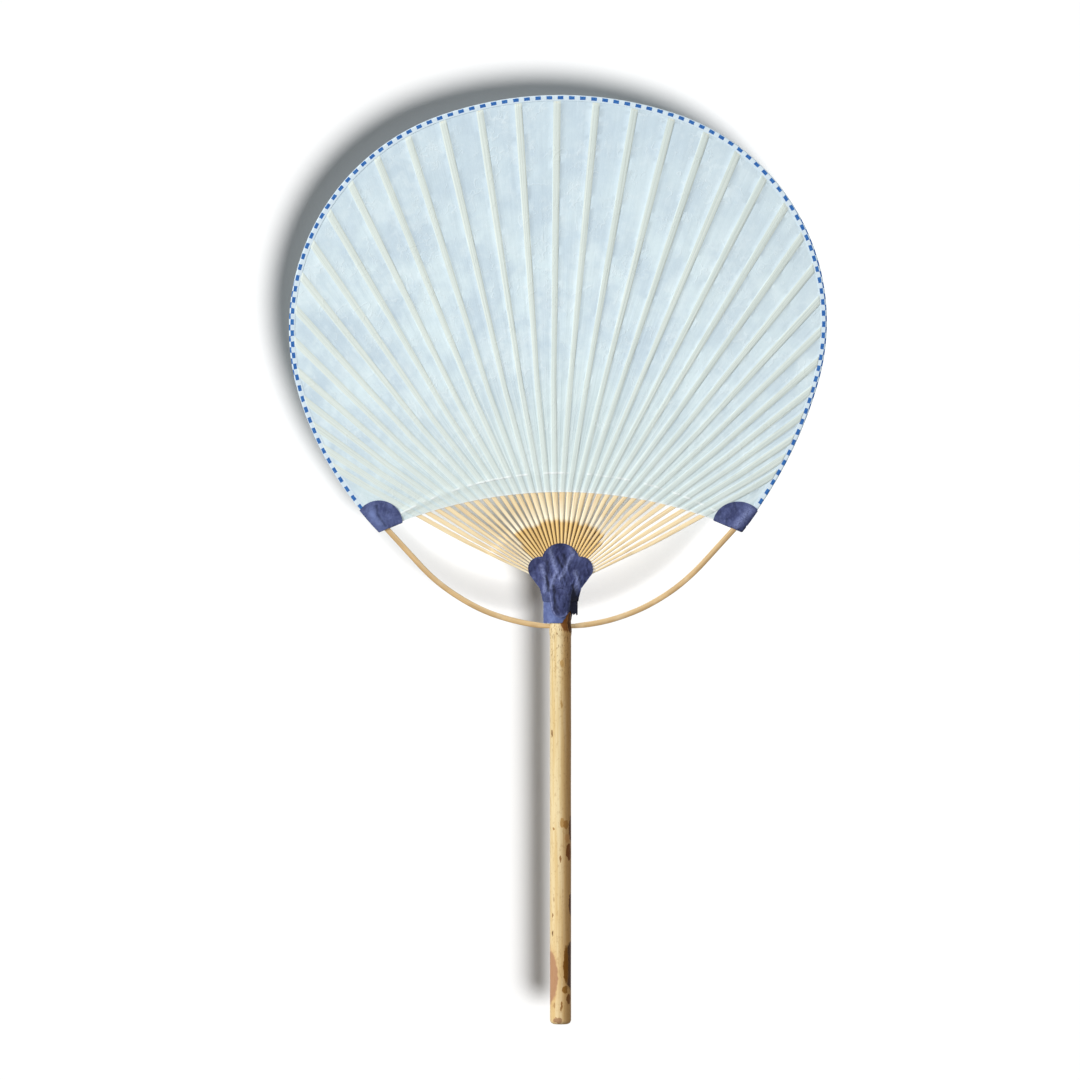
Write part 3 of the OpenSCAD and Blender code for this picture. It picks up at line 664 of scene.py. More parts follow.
def paper_line(u):
    """The way up the paper at u, from its lower edge to the rim"""
    line = rib_line(u, 0.2)
    for k, (a, b) in enumerate(zip(line, line[1:])):
        d = (b[0] - a[0], b[1] - a[1])
        f = (a[0] - edge_c[0], a[1] - edge_c[1])
        square, mid = d[0] ** 2 + d[1] ** 2, f[0] * d[0] + f[1] * d[1]
        under = mid * mid - square * (f[0] ** 2 + f[1] ** 2 - (edge_r + 0.2) ** 2)
        t = (-mid + sqrt(under)) / square if under > 0 else 2
        if 0 <= t <= 1:
            return [part_way(a, b, t)] + line[k + 1:]
    return line


def row_places(total):
    """Distances of the rows up a way of this length"""
    k = min(1, total / 24)
    first, last = 1.0 * k, total - 4.3 * k
    inner = [first + (last - first) * n / 88 for n in range(89)]
    return [0, 0.45 * k] + inner + [total - 3.9 * k, total - 3.35 * k, total - 1.6 * k, total]


row_count = len(row_places(100))
columns = []
for i in range(rib_count):
    columns += [("rib", i, k) for k in range(-3, 4)]
    if i < rib_count - 1:
        columns += [("gap", i, k / 5) for k in range(1, 5)]
corner_columns = 9
grid_places, grid_rise, grid_stripe, grid_side = {}, {}, {}, {}
cols_all = [("left", 0, k / corner_columns) for k in range(corner_columns, 0, -1)] + columns
cols_all += [("right", rib_count - 1, k / corner_columns) for k in range(1, corner_columns + 1)]


def way_point(u, row):
    line = paper_line(u)
    return follow(line, row_places(length(line))[row])


rate = {}
for i in range(rib_count):
    u = -1 + spread * i
    for row in range(row_count):
        at, way = way_point(u, row)
        near, _ = way_point(u + 0.004 * (-1 if u > 0 else 1), row)
        across = abs((near[0] - at[0]) * way[1] - (near[1] - at[1]) * way[0]) / 0.004
        rate[i, row] = across


def rib_foot(i, k, row):
    """How far a column beside a rib is from the rib's middle, as a share of the fan, and its height"""
    at, _ = way_point(-1 + spread * i, row)
    half = rib_width(apart(at, polar(head_pole, 13.6, 73 * (-1 + spread * i))), 170) / 2
    half += 0.28 * max(0, min(1, (row - 30) / 50))
    room = 0.5 * spread * rate[i, row]
    off = (0, min(0.6 * half, 0.4 * room), min(half + 0.02, 0.7 * room), min(half + 0.46, 0.86 * room))[abs(k)]
    return off / rate[i, row] * (1 if k > 0 else -1), (0.64, 0.64, 0.59, 0.30)[abs(k)]


for col, (kind, i, k) in enumerate(cols_all):
    for row in range(row_count):
        if kind == "rib":
            off, height = rib_foot(i, k, row)
            u = -1 + spread * i + off
            spot, _ = way_point(u, row)
            stripe = (1.0, 1.0, 1.0, 0.0)[abs(k)]
        elif kind == "gap":
            u0 = -1 + spread * i + rib_foot(i, 3, row)[0]
            u1 = -1 + spread * (i + 1) + rib_foot(i + 1, -3, row)[0]
            spot, _ = way_point(u0 + (u1 - u0) * k, row)
            height, stripe = 0.28, 0.0
        else:
            sign = -1 if kind == "left" else 1
            foot_u = -1 + spread * i + rib_foot(i, 3 * sign, 0)[0]
            foot = paper_line(foot_u)
            tip_u = -1 + spread * i + rib_foot(i, 3 * sign, row_count - 1)[0]
            tip = paper_line(tip_u)[-1]
            end_x = sign * (leaf_corner[0] - 0.25)
            x = foot[0][0] + (end_x - foot[0][0]) * k
            low = (x, edge_c[1] + sqrt((edge_r + 0.2) ** 2 - x * x))
            a0, a1 = heading(fan_pole, tip), sign * heading(fan_pole, (leaf_corner[0] - 0.25, leaf_corner[1] + 0.1))
            high = rim_hit(fan_pole, a0 + (a1 - a0) * k, 0.2) if k < 1 else low
            total = max(apart(low, high), 1e-3)
            t = row_places(total)[row] / total
            straight = part_way(low, high, t)
            rib_spot, _ = way_point(-1 + spread * i + rib_foot(i, 3 * sign, row)[0], row)
            rib_straight = part_way(foot[0], tip, t)
            spot = (straight[0] + (1 - k) * (rib_spot[0] - rib_straight[0]),
                    straight[1] + (1 - k) * (rib_spot[1] - rib_straight[1]))
            height, stripe = 0.28, 0.0
        grid_places[col, row] = spot
        grid_stripe[col, row] = stripe * (1.0 if row < row_count - 2 else 0.7 if row == row_count - 2 else 0.0)
        grid_rise[col, row] = height if row < row_count - 4 else (height, 0.5 * height + 0.13, 0.25, 0.25)[
            row - row_count + 4]
        grid_side[col, row] = (col * 0.14, row_places(160)[row] * mm)


def paper_height(spot, height, stripe, row, seed):
    """How far the paper's outside stands from the leaf's middle, with its sags, puckers and the thread's line"""
    x, z = spot
    slack = min(1, row / 3) * min(1, (row_count - 2 - row) / 5) if row < row_count - 2 else 0
    soft = 0.5 + 0.5 * noise.noise(Vector((x * 0.075, z * 0.075, seed)))
    pucker = max(0, noise.noise(Vector((x * 0.22, z * 0.16, seed + 5)))) ** 1.3
    wrinkle = (sag * 0.8 * soft + sag * 1.7 * pucker) * slack * (1 - 0.85 * min(1, stripe * 2))
    off_thread = abs(apart(thread_c, spot) - thread_r)
    if abs(x) < 79 and off_thread < 2.2:
        lift = min(1, 1.7 * (1 - off_thread / 2.2))
        wrinkle = max(wrinkle, lift * (0.30 if stripe > 0.5 else 0.33))
    return (height + wrinkle) * mm


paper_finish, tree, shader = finish_for("pale_blue_paper", 0.86, 0.18)
place = step(tree, "TexCoord").outputs["Object"]
lay = step(tree, "TexCoord").outputs["UV"]
clouds = cloud(tree, place, 42.0, 4.0, 0.6)
mottle = cloud(tree, place, 210.0, 3.0)
fibres = cloud(tree, stretched(tree, place, 1, 1, 0.5), 1500.0, 4.0, 0.7)
pleats = cloud(tree, stretched(tree, lay, 3.2, 26, 0), 1.0, 3.0)
colour = mixed(tree, between(tree, clouds, 0.36, 0.66), tone(202, 220, 231), tone(222, 239, 244))
colour = mixed(tree, times(tree, between(tree, mottle, 0.5, 0.72), 0.40), colour, tone(227, 241, 245))
# Painted shade: darker wrinkles in the paper, from the same noise as their bump
colour = mixed(tree, times(tree, between(tree, pleats, 0.52, 0.74), 0.40), colour, tone(198, 217, 227))
parts = step(tree, "SeparateXYZ", {0: place})
colour = mixed(tree, times(tree, between(tree, parts.outputs["Z"], 0.25, 0.33), 0.6), colour, tone(202, 220, 231))
colour = mixed(tree, times(tree, between(tree, parts.outputs["X"], 0.02, 0.11), 0.4), colour, tone(207, 222, 227))


def ring_distance(middle_z):
    """Distance in the leaf's plane from a point on the fan's middle line"""
    off = step(tree, "VectorMath", {0: place, 1: (0, 0, middle_z * mm)}, operation="SUBTRACT").outputs[0]
    return step(tree, "VectorMath", {0: stretched(tree, off, 1, 0, 1)}, operation="LENGTH").outputs["Value"]


low_part = between(tree, ring_distance(fan_pole[1]), 0.130, 0.060)
colour = mixed(tree, times(tree, low_part, 0.75), colour, tone(213, 228, 227))
# Painted shade and painted highlight: the fine pleats of the lower paper get a dark side and a light side
fine_pleats = cloud(tree, stretched(tree, lay, 9, 14, 0), 1.0, 2.0)
colour = mixed(tree, times(tree, times(tree, between(tree, fine_pleats, 0.52, 0.64), low_part), 0.45), colour,
               tone(182, 202, 202))
colour = mixed(tree, times(tree, times(tree, between(tree, fine_pleats, 0.46, 0.36), low_part), 0.6), colour,
               tone(236, 246, 243))


def fold_lines(scale, detail, gate, wide):
    """Wandering lines where a noise passes its middle, kept only where another noise is high"""
    wave = step(tree, "Math", {0: cloud(tree, place, scale, detail, 0.6), 1: 0.5}, operation="SUBTRACT").outputs[0]
    line = between(tree, step(tree, "Math", {0: wave}, operation="ABSOLUTE").outputs[0], wide, 0.0)
    return times(tree, line, between(tree, cloud(tree, place, gate, 2.0), 0.48, 0.60))


# Painted highlight: faint light lines along the paper's crinkles and creases
crinkle = fold_lines(70.0, 3.0, 34.0, 0.090)
colour = mixed(tree, times(tree, crinkle, 0.30), colour, tone(230, 243, 247))
crease = step(tree, "Math", {0: fold_lines(62.0, 3.0, 85.0, 0.018), 1: fold_lines(120.0, 4.0, 55.0, 0.018)},
              operation="MAXIMUM").outputs[0]
colour = mixed(tree, times(tree, crease, 0.30), colour, tone(234, 245, 248))
rib_share = step(tree, "Attribute", attribute_name="rib_stripe").outputs["Fac"]
stripe_share = step(tree, "Math", {0: low_part, 1: -0.25, 2: 0.88}, operation="MULTIPLY_ADD").outputs[0]
# Painted light: the rib stripes are lighter on the left of the leaf, which faces the key lamp, and darker on the right
stripe_tone_lit_left = mixed(tree, between(tree, parts.outputs["X"], -0.06, 0.08), tone(224, 234, 227), tone(208, 219, 213))
colour = mixed(tree, times(tree, between(tree, rib_share, 0.05, 0.6), stripe_share), colour, stripe_tone_lit_left)
rib_fibres = cloud(tree, stretched(tree, lay, 15, 5, 0), 1.0, 2.0)
colour = mixed(tree, times(tree, times(tree, between(tree, rib_fibres, 0.52, 0.64), rib_share), 0.45), colour,
               tone(194, 200, 188))
colour = mixed(tree, times(tree, times(tree, between(tree, rib_fibres, 0.46, 0.38), rib_share), 0.5), colour,
               tone(240, 243, 232))
trim_share = step(tree, "Attribute", attribute_name="lower_trim").outputs["Fac"]
colour = mixed(tree, times(tree, trim_share, 0.8), colour, tone(238, 244, 243))
off_line = step(tree, "Math", {0: ring_distance(thread_c[1]), 1: thread_r * mm}, operation="SUBTRACT").outputs[0]
thread_line = between(tree, step(tree, "Math", {0: off_line}, operation="ABSOLUTE").outputs[0], 0.0007, 0.0002)
thread_line = times(tree, thread_line, between(tree, cloud(tree, place, 190.0, 2.0), 0.42, 0.55))
colour = mixed(tree, times(tree, thread_line, 0.75), colour, tone(243, 249, 248))
colour = mixed(tree, times(tree, between(tree, fibres, 0.55, 0.8), 0.35), colour, tone(234, 243, 246))
tree.links.new(colour, shader.inputs["Base Color"])
relief(tree, shader, (fibres, 0.03), (mottle, 0.10), (pleats, 0.16), (crease, 0.05), (thread_line, 0.12),
       (rib_fibres, 0.04))

for name, node, face, seed in (("front_leaf_paper", "front_paper", -1, 2.0), ("back_leaf_paper", "back_paper", 1, 9.0)):
    paper = start(name, bpy.ops.mesh.primitive_grid_add, x_subdivisions=len(cols_all) - 1,
                  y_subdivisions=row_count - 1, size=2)
    bpy.ops.object.mode_set(mode="OBJECT")
    stripes, trims, lays = [], [], []
    for point in paper.data.vertices:
        col = round((point.co.x + 1) / 2 * (len(cols_all) - 1))
        row = round((point.co.y + 1) / 2 * (row_count - 1))
        spot, stripe = grid_places[col, row], grid_stripe[col, row]
        rise = paper_height(spot, grid_rise[col, row], stripe, row, seed)
        point.co = Vector((spot[0] * mm, face * rise, spot[1] * mm))
        strength = 0.72 + 0.28 * noise.noise(Vector((cols_all[col][1] * 3.7, seed, 0)))
        stripes.append(stripe * strength)
        trims.append((1.0, 0.75, 0.25)[row] if row < 3 else 0.0)
        lays.append(grid_side[col, row])
    write_mark(paper, "rib_stripe", lambda point: stripes[point.index])
    write_mark(paper, "lower_trim", lambda point: trims[point.index])
    write_uv(paper, lambda point: lays[point.index])
    bpy.ops.object.mode_set(mode="EDIT")
    bpy.ops.mesh.select_all(action="SELECT")
    bpy.ops.mesh.remove_doubles(threshold=2e-6)
    bpy.ops.mesh.normals_make_consistent(inside=False)
    bpy.ops.object.mode_set(mode="OBJECT")
    if paper.data.polygons[len(paper.data.polygons) // 2].normal.y * face < 0:
        paper.data.flip_normals()
    thickness = paper.modifiers.new("thickness", "SOLIDIFY")
    thickness.thickness, thickness.offset = 0.22 * mm, -1
    apply_all(paper)
    fit(paper, paper_finish, "leaf_paper", node, angle=28)

# Rim tape: a narrow strip of checked paper, pale with blue blocks, pasted on one face, folded over the leaf's
# edge and pasted on the other. Its fold wanders, so that parts of the second row of blocks show.
tape_w, tape_y = 2.7, 0.45
low_c, low_r, low_a0, low_a1 = rim_left[2]
tape_start = -low_a1
section = [(-tape_w, -tape_y), (-tape_w + 0.5, -tape_y), (-1.6, -tape_y), (-0.8, -tape_y), (-0.25, -tape_y + 0.02),
           (-0.04, -0.24), (0, 0), (-0.04, 0.24), (-0.25, tape_y - 0.02), (-0.8, tape_y), (-1.6, tape_y),
           (-tape_w + 0.5, tape_y), (-tape_w, tape_y)]
tape = start("checked_rim_tape", bpy.ops.mesh.primitive_circle_add, vertices=len(section), fill_type="NOTHING")
net = bmesh.from_edit_mesh(tape.data)
net.verts.ensure_lookup_table()
ring = list(net.verts)
for point, (g, y) in zip(ring, section):
    spot = polar((-low_c[0], low_c[1]), low_r + g, tape_start)
    point.co = Vector((spot[0] * mm, y * mm, spot[1] * mm))
for edge in list(net.edges):
    ends = {ring.index(v) for v in edge.verts}
    if ends == {0, len(section) - 1}:
        net.edges.remove(edge)
bmesh.update_edit_mesh(tape.data)
bpy.ops.mesh.select_all(action="SELECT")
swing = [((-c[0], c[1]), r, b - a) for c, r, a, b in reversed(rim_left)] + [(c, r, b - a) for c, r, a, b in rim_right]
for c, r, turn_by in swing:
    bpy.ops.mesh.spin(steps=max(4, ceil(radians(turn_by) * r / 1.15)), angle=radians(-turn_by),
                      center=(c[0] * mm, 0, c[1] * mm), axis=(0, 1, 0))
bpy.ops.mesh.select_all(action="SELECT")
bpy.ops.mesh.remove_doubles(threshold=1e-6)
bpy.ops.mesh.normals_make_consistent(inside=False)
bpy.ops.object.mode_set(mode="OBJECT")


def rim_place(x, z):
    """How far along the rim a point is from the top, to the right, and how far inside the rim it is"""
    sign, arcs = (-1, rim_left) if x < 0 else (1, rim_right)
    gone = 0.0
    for c, r, a, b in arcs:
        at = heading(c, (abs(x), z))
        if at <= b or c == arcs[-1][0]:
            return sign * (gone + r * radians(at - a)), r - apart(c, (abs(x), z))
        gone += r * radians(b - a)


tape_lay, outer_row = [], []
wander = [(-330, 0.2), (-225, 0.2), (-190, -0.3), (-150, 0.2), (0, 0), (110, 0.1), (150, -0.25), (215, -0.25),
          (245, 0.3), (330, 0.35)]
for point in tape.data.vertices:
    along, inside = rim_place(point.co.x / mm, point.co.z / mm)
    front = -1 if point.co.y < 0 else 1
    shift = lerp(along, wander) + 0.12 * noise.noise(Vector((along * 0.045, 4.2, 0)))
    tape_lay.append((along / 5.22, inside - front * shift))
    outer_row.append(lerp(along, [(-330, 0), (-212, 0), (-206, 1), (-168, 1), (-160, 0), (122, 0), (132, 1),
                                  (222, 1), (232, 0), (330, 0)]))
    pucker = 0.10 * noise.noise(Vector((along * 0.35, 1.0, 0))) * (1 if inside < 0.5 else 0)
    c, r, a, b = next(arc for arc in (rim_left if along < 0 else rim_right)
                      if heading(arc[0], (abs(point.co.x / mm), point.co.z / mm)) <= arc[3] + 0.01
                      or arc[0] == (rim_left if along < 0 else rim_right)[-1][0])
    outward = Vector((abs(point.co.x) - c[0] * mm, 0, point.co.z - c[1] * mm)).normalized()
    point.co.x += outward.x * pucker * mm * (-1 if along < 0 else 1)
    point.co.z += outward.z * pucker * mm
write_uv(tape, lambda point: tape_lay[point.index])
write_mark(tape, "outer_row", lambda point: outer_row[point.index])
if tape.data.polygons[0].normal.y * tape.data.polygons[0].center.y < 0:
    tape.data.flip_normals()
thickness = tape.modifiers.new("thickness", "SOLIDIFY")
thickness.thickness, thickness.offset = 0.18 * mm, -1
apply_all(tape)

tape_finish, tree, shader = finish_for("checked_tape_paper", 0.82, 0.2)
lay = step(tree, "TexCoord").outputs["UV"]
place = step(tree, "TexCoord").outputs["Object"]
parts = step(tree, "SeparateXYZ", {0: lay})
woolly = step(tree, "Math", {0: cloud(tree, place, 900.0, 2.0), 1: 0.5}, operation="SUBTRACT").outputs[0]


def shifted(value, by, amount=0.0):
    moved = step(tree, "Math", {0: value, 1: by}, operation="ADD").outputs[0]
    return step(tree, "Math", {0: woolly, 1: amount, 2: moved}, operation="MULTIPLY_ADD").outputs[0]


def block_row(offset, low, high):
    beat = step(tree, "Math", {0: shifted(parts.outputs["X"], offset, 0.10), 1: 0.5}, operation="PINGPONG").outputs[0]
    long_way = between(tree, beat, 0.275, 0.235)
    deep = shifted(parts.outputs["Y"], 0.0, 0.35)
    return times(tree, long_way, times(tree, between(tree, deep, low - 0.07, low + 0.07),
                                       between(tree, deep, high + 0.07, high - 0.07)))


weave = cloud(tree, place, 1600.0, 3.0, 0.6)
colour = mixed(tree, between(tree, weave, 0.3, 0.7), tone(207, 225, 237), tone(221, 235, 243))
blue = mixed(tree, between(tree, weave, 0.35, 0.7), tone(38, 92, 166), tone(66, 124, 190))
colour = mixed(tree, block_row(0.0, 0.45, 2.05), colour, blue)
outer = step(tree, "Attribute", attribute_name="outer_row").outputs["Fac"]
colour = mixed(tree, times(tree, block_row(0.5, -0.9, 0.45), outer), colour, blue)
tree.links.new(colour, shader.inputs["Base Color"])
relief(tree, shader, (weave, 0.03))
fit(tape, tape_finish, "tape_paper", "rim_tape", angle=60)

# Ears: a round patch of indigo paper over each of the leaf's corners, folded from the front round both edges to
# the back. It lies over the tape, the last ribs, the knot and the bow's end, which leaves through its fold.
indigo_finish, tree, shader = finish_for("crumpled_indigo_paper", 0.84, 0.22)
place = step(tree, "TexCoord").outputs["Object"]
tint = cloud(tree, place, 260.0, 4.0, 0.6)
fine = cloud(tree, place, 1300.0, 4.0, 0.7)
crush = cloud(tree, stretched(tree, place, 1, 1, 0.55), 420.0, 5.0, 0.62)
colour = mixed(tree, between(tree, tint, 0.34, 0.68), tone(50, 55, 94), tone(74, 82, 126))
colour = mixed(tree, times(tree, between(tree, crush, 0.54, 0.72), 0.55), colour, tone(98, 108, 154))
colour = mixed(tree, times(tree, between(tree, crush, 0.46, 0.34), 0.7), colour, tone(31, 36, 68))
# Lighter indigo: some wear, and painted highlights on ridges, seams and folds that face the light
wear_and_highlight = step(tree, "Attribute", attribute_name="wear_and_highlight").outputs["Fac"]
colour = mixed(tree, times(tree, wear_and_highlight, between(tree, fine, 0.25, 0.6)), colour, tone(140, 150, 196))
# Painted shade: near-black in creases, furrows, fold edges and on the right sides of the sleeve and patch, away from
# the key lamp
shade = step(tree, "Attribute", attribute_name="painted_shade").outputs["Fac"]
colour = mixed(tree, times(tree, shade, 0.92), colour, tone(14, 15, 26))
# Paler indigo: a lighter tone over each ear, and painted light on the sleeve's left flank and the front patch's lower
# left, which face the key lamp
faded_and_lit = step(tree, "Attribute", attribute_name="faded_and_lit").outputs["Fac"]
colour = mixed(tree, faded_and_lit, colour, mixed(tree, between(tree, tint, 0.35, 0.68), tone(86, 99, 146),
                                          tone(112, 127, 176)))
colour = mixed(tree, times(tree, between(tree, fine, 0.58, 0.8), 0.30), colour, tone(120, 124, 170))
tree.links.new(colour, shader.inputs["Base Color"])
relief(tree, shader, (fine, 0.05), (crush, 0.22))


def stroke(x, z, line, width):
    """How near a point is to a crease: 1 on it and 0 from width away"""
    near = 9e9
    for a, b in zip(line, line[1:]):
        run = apart(a, b)
        t = max(0, min(1, ((x - a[0]) * (b[0] - a[0]) + (z - a[1]) * (b[1] - a[1])) / run / run))
        near = min(near, apart((x, z), part_way(a, b, t)))
    return max(0, 1 - near / width)


def in_leaf(x, z, out):
    """True inside the leaf, with its edges moved out a little"""
    arcs = rim_left if x < 0 else rim_right
    if hypot(x - edge_c[0], z - edge_c[1]) < edge_r - out:
        return False
    for c, r, a, b in arcs:
        if heading(c, (abs(x), z)) <= b or c == arcs[-1][0]:
            return apart(c, (abs(x), z)) <= r + out


def rings(name, outline, centre, count):
    """A flat patch in the leaf's plane: its outline, then rings drawn in to its middle"""
    patch = start(name, bpy.ops.mesh.primitive_circle_add, vertices=len(outline), fill_type="NOTHING")
    net = bmesh.from_edit_mesh(patch.data)
    net.verts.ensure_lookup_table()
    for point, (x, z) in zip(net.verts, outline):
        point.co = Vector((x * mm, 0, z * mm))
    bmesh.update_edit_mesh(patch.data)
    middle = (centre[0] * mm, 0, centre[1] * mm)
    for k in range(count - 1):
        shrink = (count - 1 - k) / (count - k)
        bpy.ops.mesh.extrude_region_move()
        bpy.ops.transform.resize(value=(shrink, shrink, shrink), center_override=middle)
    bpy.ops.mesh.extrude_region_move()
    bpy.ops.mesh.merge(type="CENTER")
    bpy.ops.mesh.select_all(action="SELECT")
    return patch


ears = {-1: dict(name="left_ear_paper", node="left_ear", centre=(-84.0, 141.6), wide=10.9, tall=10.7,
                 middle=(-80.0, 144.2)),
        1: dict(name="right_ear_paper", node="right_ear", centre=(82.2, 141.3), wide=11.7, tall=10.5,
                middle=(79.0, 144.0))}
ear_crease = [(-84.9, 149.6), (-84.4, 146.2), (-82.8, 143.6), (-80.6, 140.6)]
ear_highlight_streak = [(87.5, 148.0), (84.5, 144.0), (81.5, 141.0)]
for side, ear in ears.items():
    directions = [360 * k / 120 for k in range(120)]
    to_corner = heading(ear["middle"], (side * (leaf_corner[0] + 0.32), leaf_corner[1] - 0.18)) % 360
    directions[min(range(120), key=lambda k: abs(directions[k] - to_corner))] = to_corner
    outline, on_edge = [], []
    for a in directions:
        near, far = 0.0, 30.0
        for k in range(26):
            reach = (near + far) / 2
            x, z = polar(ear["middle"], reach, a)
            in_round = hypot((x - ear["centre"][0]) / ear["wide"], (z - ear["centre"][1]) / ear["tall"]) <= 1
            if in_round and in_leaf(x, z, 0.3):
                near = reach
            else:
                far = reach
        x, z = polar(ear["middle"], near, a)
        outline.append((x, z))
        on_edge.append(hypot((x - ear["centre"][0]) / ear["wide"], (z - ear["centre"][1]) / ear["tall"]) < 0.997)
    folded = {(round(x, 3), round(z, 3)) for (x, z), edge in zip(outline, on_edge) if edge}
    sheet = rings(ear["name"], outline, ear["middle"], 26)
    bpy.ops.mesh.duplicate_move(TRANSFORM_OT_translate={"value": (0, 1 * mm, 0)})
    pick(sheet, lambda co: (round(co.x / mm, 3), round(co.z / mm, 3)) in folded)
    bpy.ops.mesh.bridge_edge_loops(number_cuts=1)
    bpy.ops.mesh.select_all(action="SELECT")
    bpy.ops.mesh.normals_make_consistent(inside=False)
    bpy.ops.object.mode_set(mode="OBJECT")
    bow_end = [(side * (bow_in[0] - 2 * bow_way[0]), bow_in[1] - 2 * bow_way[1]),
               (side * (bow_in[0] + 7 * bow_way[0]), bow_in[1] + 7 * bow_way[1])]
    wear_and_highlights, painted_shades, fade_and_light_shares = [], [], []
    for point in sheet.data.vertices:
        x, z = point.co.x / mm, point.co.z / mm
        face = -1 if point.co.y < 0.25 * mm else (1 if point.co.y > 0.75 * mm else 0)
        over_bow = stroke(x, z, bow_end, 4.2)
        over_bow = over_bow * over_bow * (3 - 2 * over_bow)
        crumple = 0.5 + noise.noise(Vector((x * 0.30, z * 0.30, 3 * side + face)))
        fold = stroke(x, z, ear_crease, 0.9) if side < 0 and face < 0 else 0
        # Painted highlight: a light streak along the right ear's fold
        highlight_streak = stroke(x, z, ear_highlight_streak, 2.6) if side > 0 and face < 0 else 0
        small = noise.noise(Vector((x * 0.9, z * 0.9, side)))
        rise = 0.84 + 0.78 * over_bow + 0.16 * crumple + 0.07 * small - 0.45 * fold
        low_left = side < 0 and face < 0 and stroke(x, z, [(-88, 147), (-85, 142.5), (-82.5, 139.5)], 3.4)
        if face:
            point.co.y = face * rise * mm
        else:
            point.co.y = 0
            out = Vector((x - ear["middle"][0], z - ear["middle"][1])).normalized()
            point.co.x += 0.25 * out.x * mm
            point.co.z += 0.25 * out.y * mm
        wear_and_highlights.append(min(1, 0.75 * highlight_streak + 0.35 * max(0, small) + 0.4 * (low_left or 0)))
        # Painted shade: dark in the left ear's crease and along the right ear's fold edge
        painted_shades.append(min(1, 0.8 * fold + (0.8 * stroke(x, z, [(93, 150), (88, 142), (84.5, 138.4)], 1.6)
                                           if side > 0 and face < 0 else 0)))
        fade_and_light_shares.append(0.55 * (low_left or 0) + (0.30 if side < 0 else 0.16))
    write_mark(sheet, "wear_and_highlight", lambda point: wear_and_highlights[point.index])
    write_mark(sheet, "painted_shade", lambda point: painted_shades[point.index])
    write_mark(sheet, "faded_and_lit", lambda point: fade_and_light_shares[point.index])
    paper_wall = sheet.modifiers.new("thickness", "SOLIDIFY")
    paper_wall.thickness, paper_wall.offset = 0.2 * mm, -1
    apply_all(sheet)
    fit(sheet, indigo_finish, "indigo_paper", ear["node"], angle=60)

# Neck sleeve: a band of indigo paper wrapped round the handle's top and the split culm, pressed flat into an
# edge at each side. Its lower right front is torn away and shows the brown bamboo beneath.
sleeve_low, sleeve_top, sleeve_half, sleeve_r = 95.6, 107.0, 7.95, 5.3
press = acos(sleeve_r / sleeve_half)


def neck_round(t, grow):
    """Point of the neck's section, round with two pressed edges, at t from 0 to 1 from the right edge by the
    back to the left edge and by the front to the right again"""
    r = sleeve_r + grow
    a = 2 * pi * t
    c = cos(a)
    if abs(c) * (sleeve_half + grow) > r * cos(press):
        x = c * (sleeve_half + grow)
        tip = r / cos(press)
        y = (tip - abs(x)) / tan_press
        y = max(0, y)
    else:
        x = c * (sleeve_half + grow)
        y = sqrt(max(0, r * r - x * x))
    return x, (y if sin(a) >= 0 else -y)


tan_press = sin(press) / cos(press)
around_count = 120
sleeve = start("neck_sleeve_paper", bpy.ops.mesh.primitive_circle_add, vertices=around_count, fill_type="NOTHING",
               location=(0, 0, 0))
net = bmesh.from_edit_mesh(sleeve.data)
net.verts.ensure_lookup_table()
for k, point in enumerate(net.verts):
    x, y = neck_round(k / around_count, 0)
    point.co = Vector((x * mm, y * mm, 0))
bmesh.update_edit_mesh(sleeve.data)
for k in range(20):
    bpy.ops.mesh.extrude_region_move(TRANSFORM_OT_translate={"value": (0, 0, 0.05 * mm)})
bpy.ops.mesh.select_all(action="SELECT")
bpy.ops.mesh.normals_make_consistent(inside=False)
bpy.ops.object.mode_set(mode="OBJECT")


def tear(x, y):
    """How far the sleeve's lower edge is torn up"""
    plain = 0.25 * noise.noise(Vector((x * 0.8, y * 0.8, 2)))
    deep = lerp(x, [(0.4, 0.0), (1.6, 1.6), (3.2, 4.6), (4.6, 6.2), (5.4, 4.4), (6.2, 3.2), (7.0, 4.4), (8.4, 3.6)])
    share = min(1, max(0, 0.5 - y)) if x < 4.6 else max(min(1, max(0, 0.5 - y)), min(1, (x - 4.6) / 1.0))
    if x < 0.4 or share == 0:
        return plain
    return deep * share + 1.1 * noise.noise(Vector((x * 2.7, 1.7, 0))) * min(1, deep * share)


wear_and_highlights, painted_shades, fade_and_light_shares = [], [], []
for point in sleeve.data.vertices:
    x, y, t = point.co.x / mm, point.co.y / mm, point.co.z / mm
    low = sleeve_low + tear(x, y)
    z = low + (sleeve_top - low) * t
    rumple = 0.16 * noise.noise(Vector((x * 0.35, y * 0.35, z * 0.3))) + 0.10 * noise.noise(Vector((x, y, z * 0.9)))
    grow = 1 + max(-0.02, rumple) / 11
    point.co = Vector((x * grow * mm, y * grow * mm, z * mm))
    front = y < 0
    right_shade = max(0, min(1, (x - 3.0) / 1.6)) if front else 0
    # Painted light: the left of the sleeve's front is painted paler
    left_light = max(0, min(1, (3.0 - x) / 2.5)) if front else 0.25
    wear_and_highlights.append(0.30 * max(0, noise.noise(Vector((x * 0.8, y, z * 0.5)))) + 0.25 * stroke(
        x, z, [(-7, 106), (-5.4, 101.5), (-6.5, 97)], 1.2))
    # Painted shade on the right flank of the sleeve's front and along its lower edge
    painted_shades.append(min(1, 0.95 * right_shade + (0.5 if t < 0.04 and x < 0.4 else 0)))
    fade_and_light_shares.append(0.85 * left_light)
write_mark(sleeve, "wear_and_highlight", lambda point: wear_and_highlights[point.index])
write_mark(sleeve, "painted_shade", lambda point: painted_shades[point.index])
write_mark(sleeve, "faded_and_lit", lambda point: fade_and_light_shares[point.index])
band_wall = sleeve.modifiers.new("thickness", "SOLIDIFY")
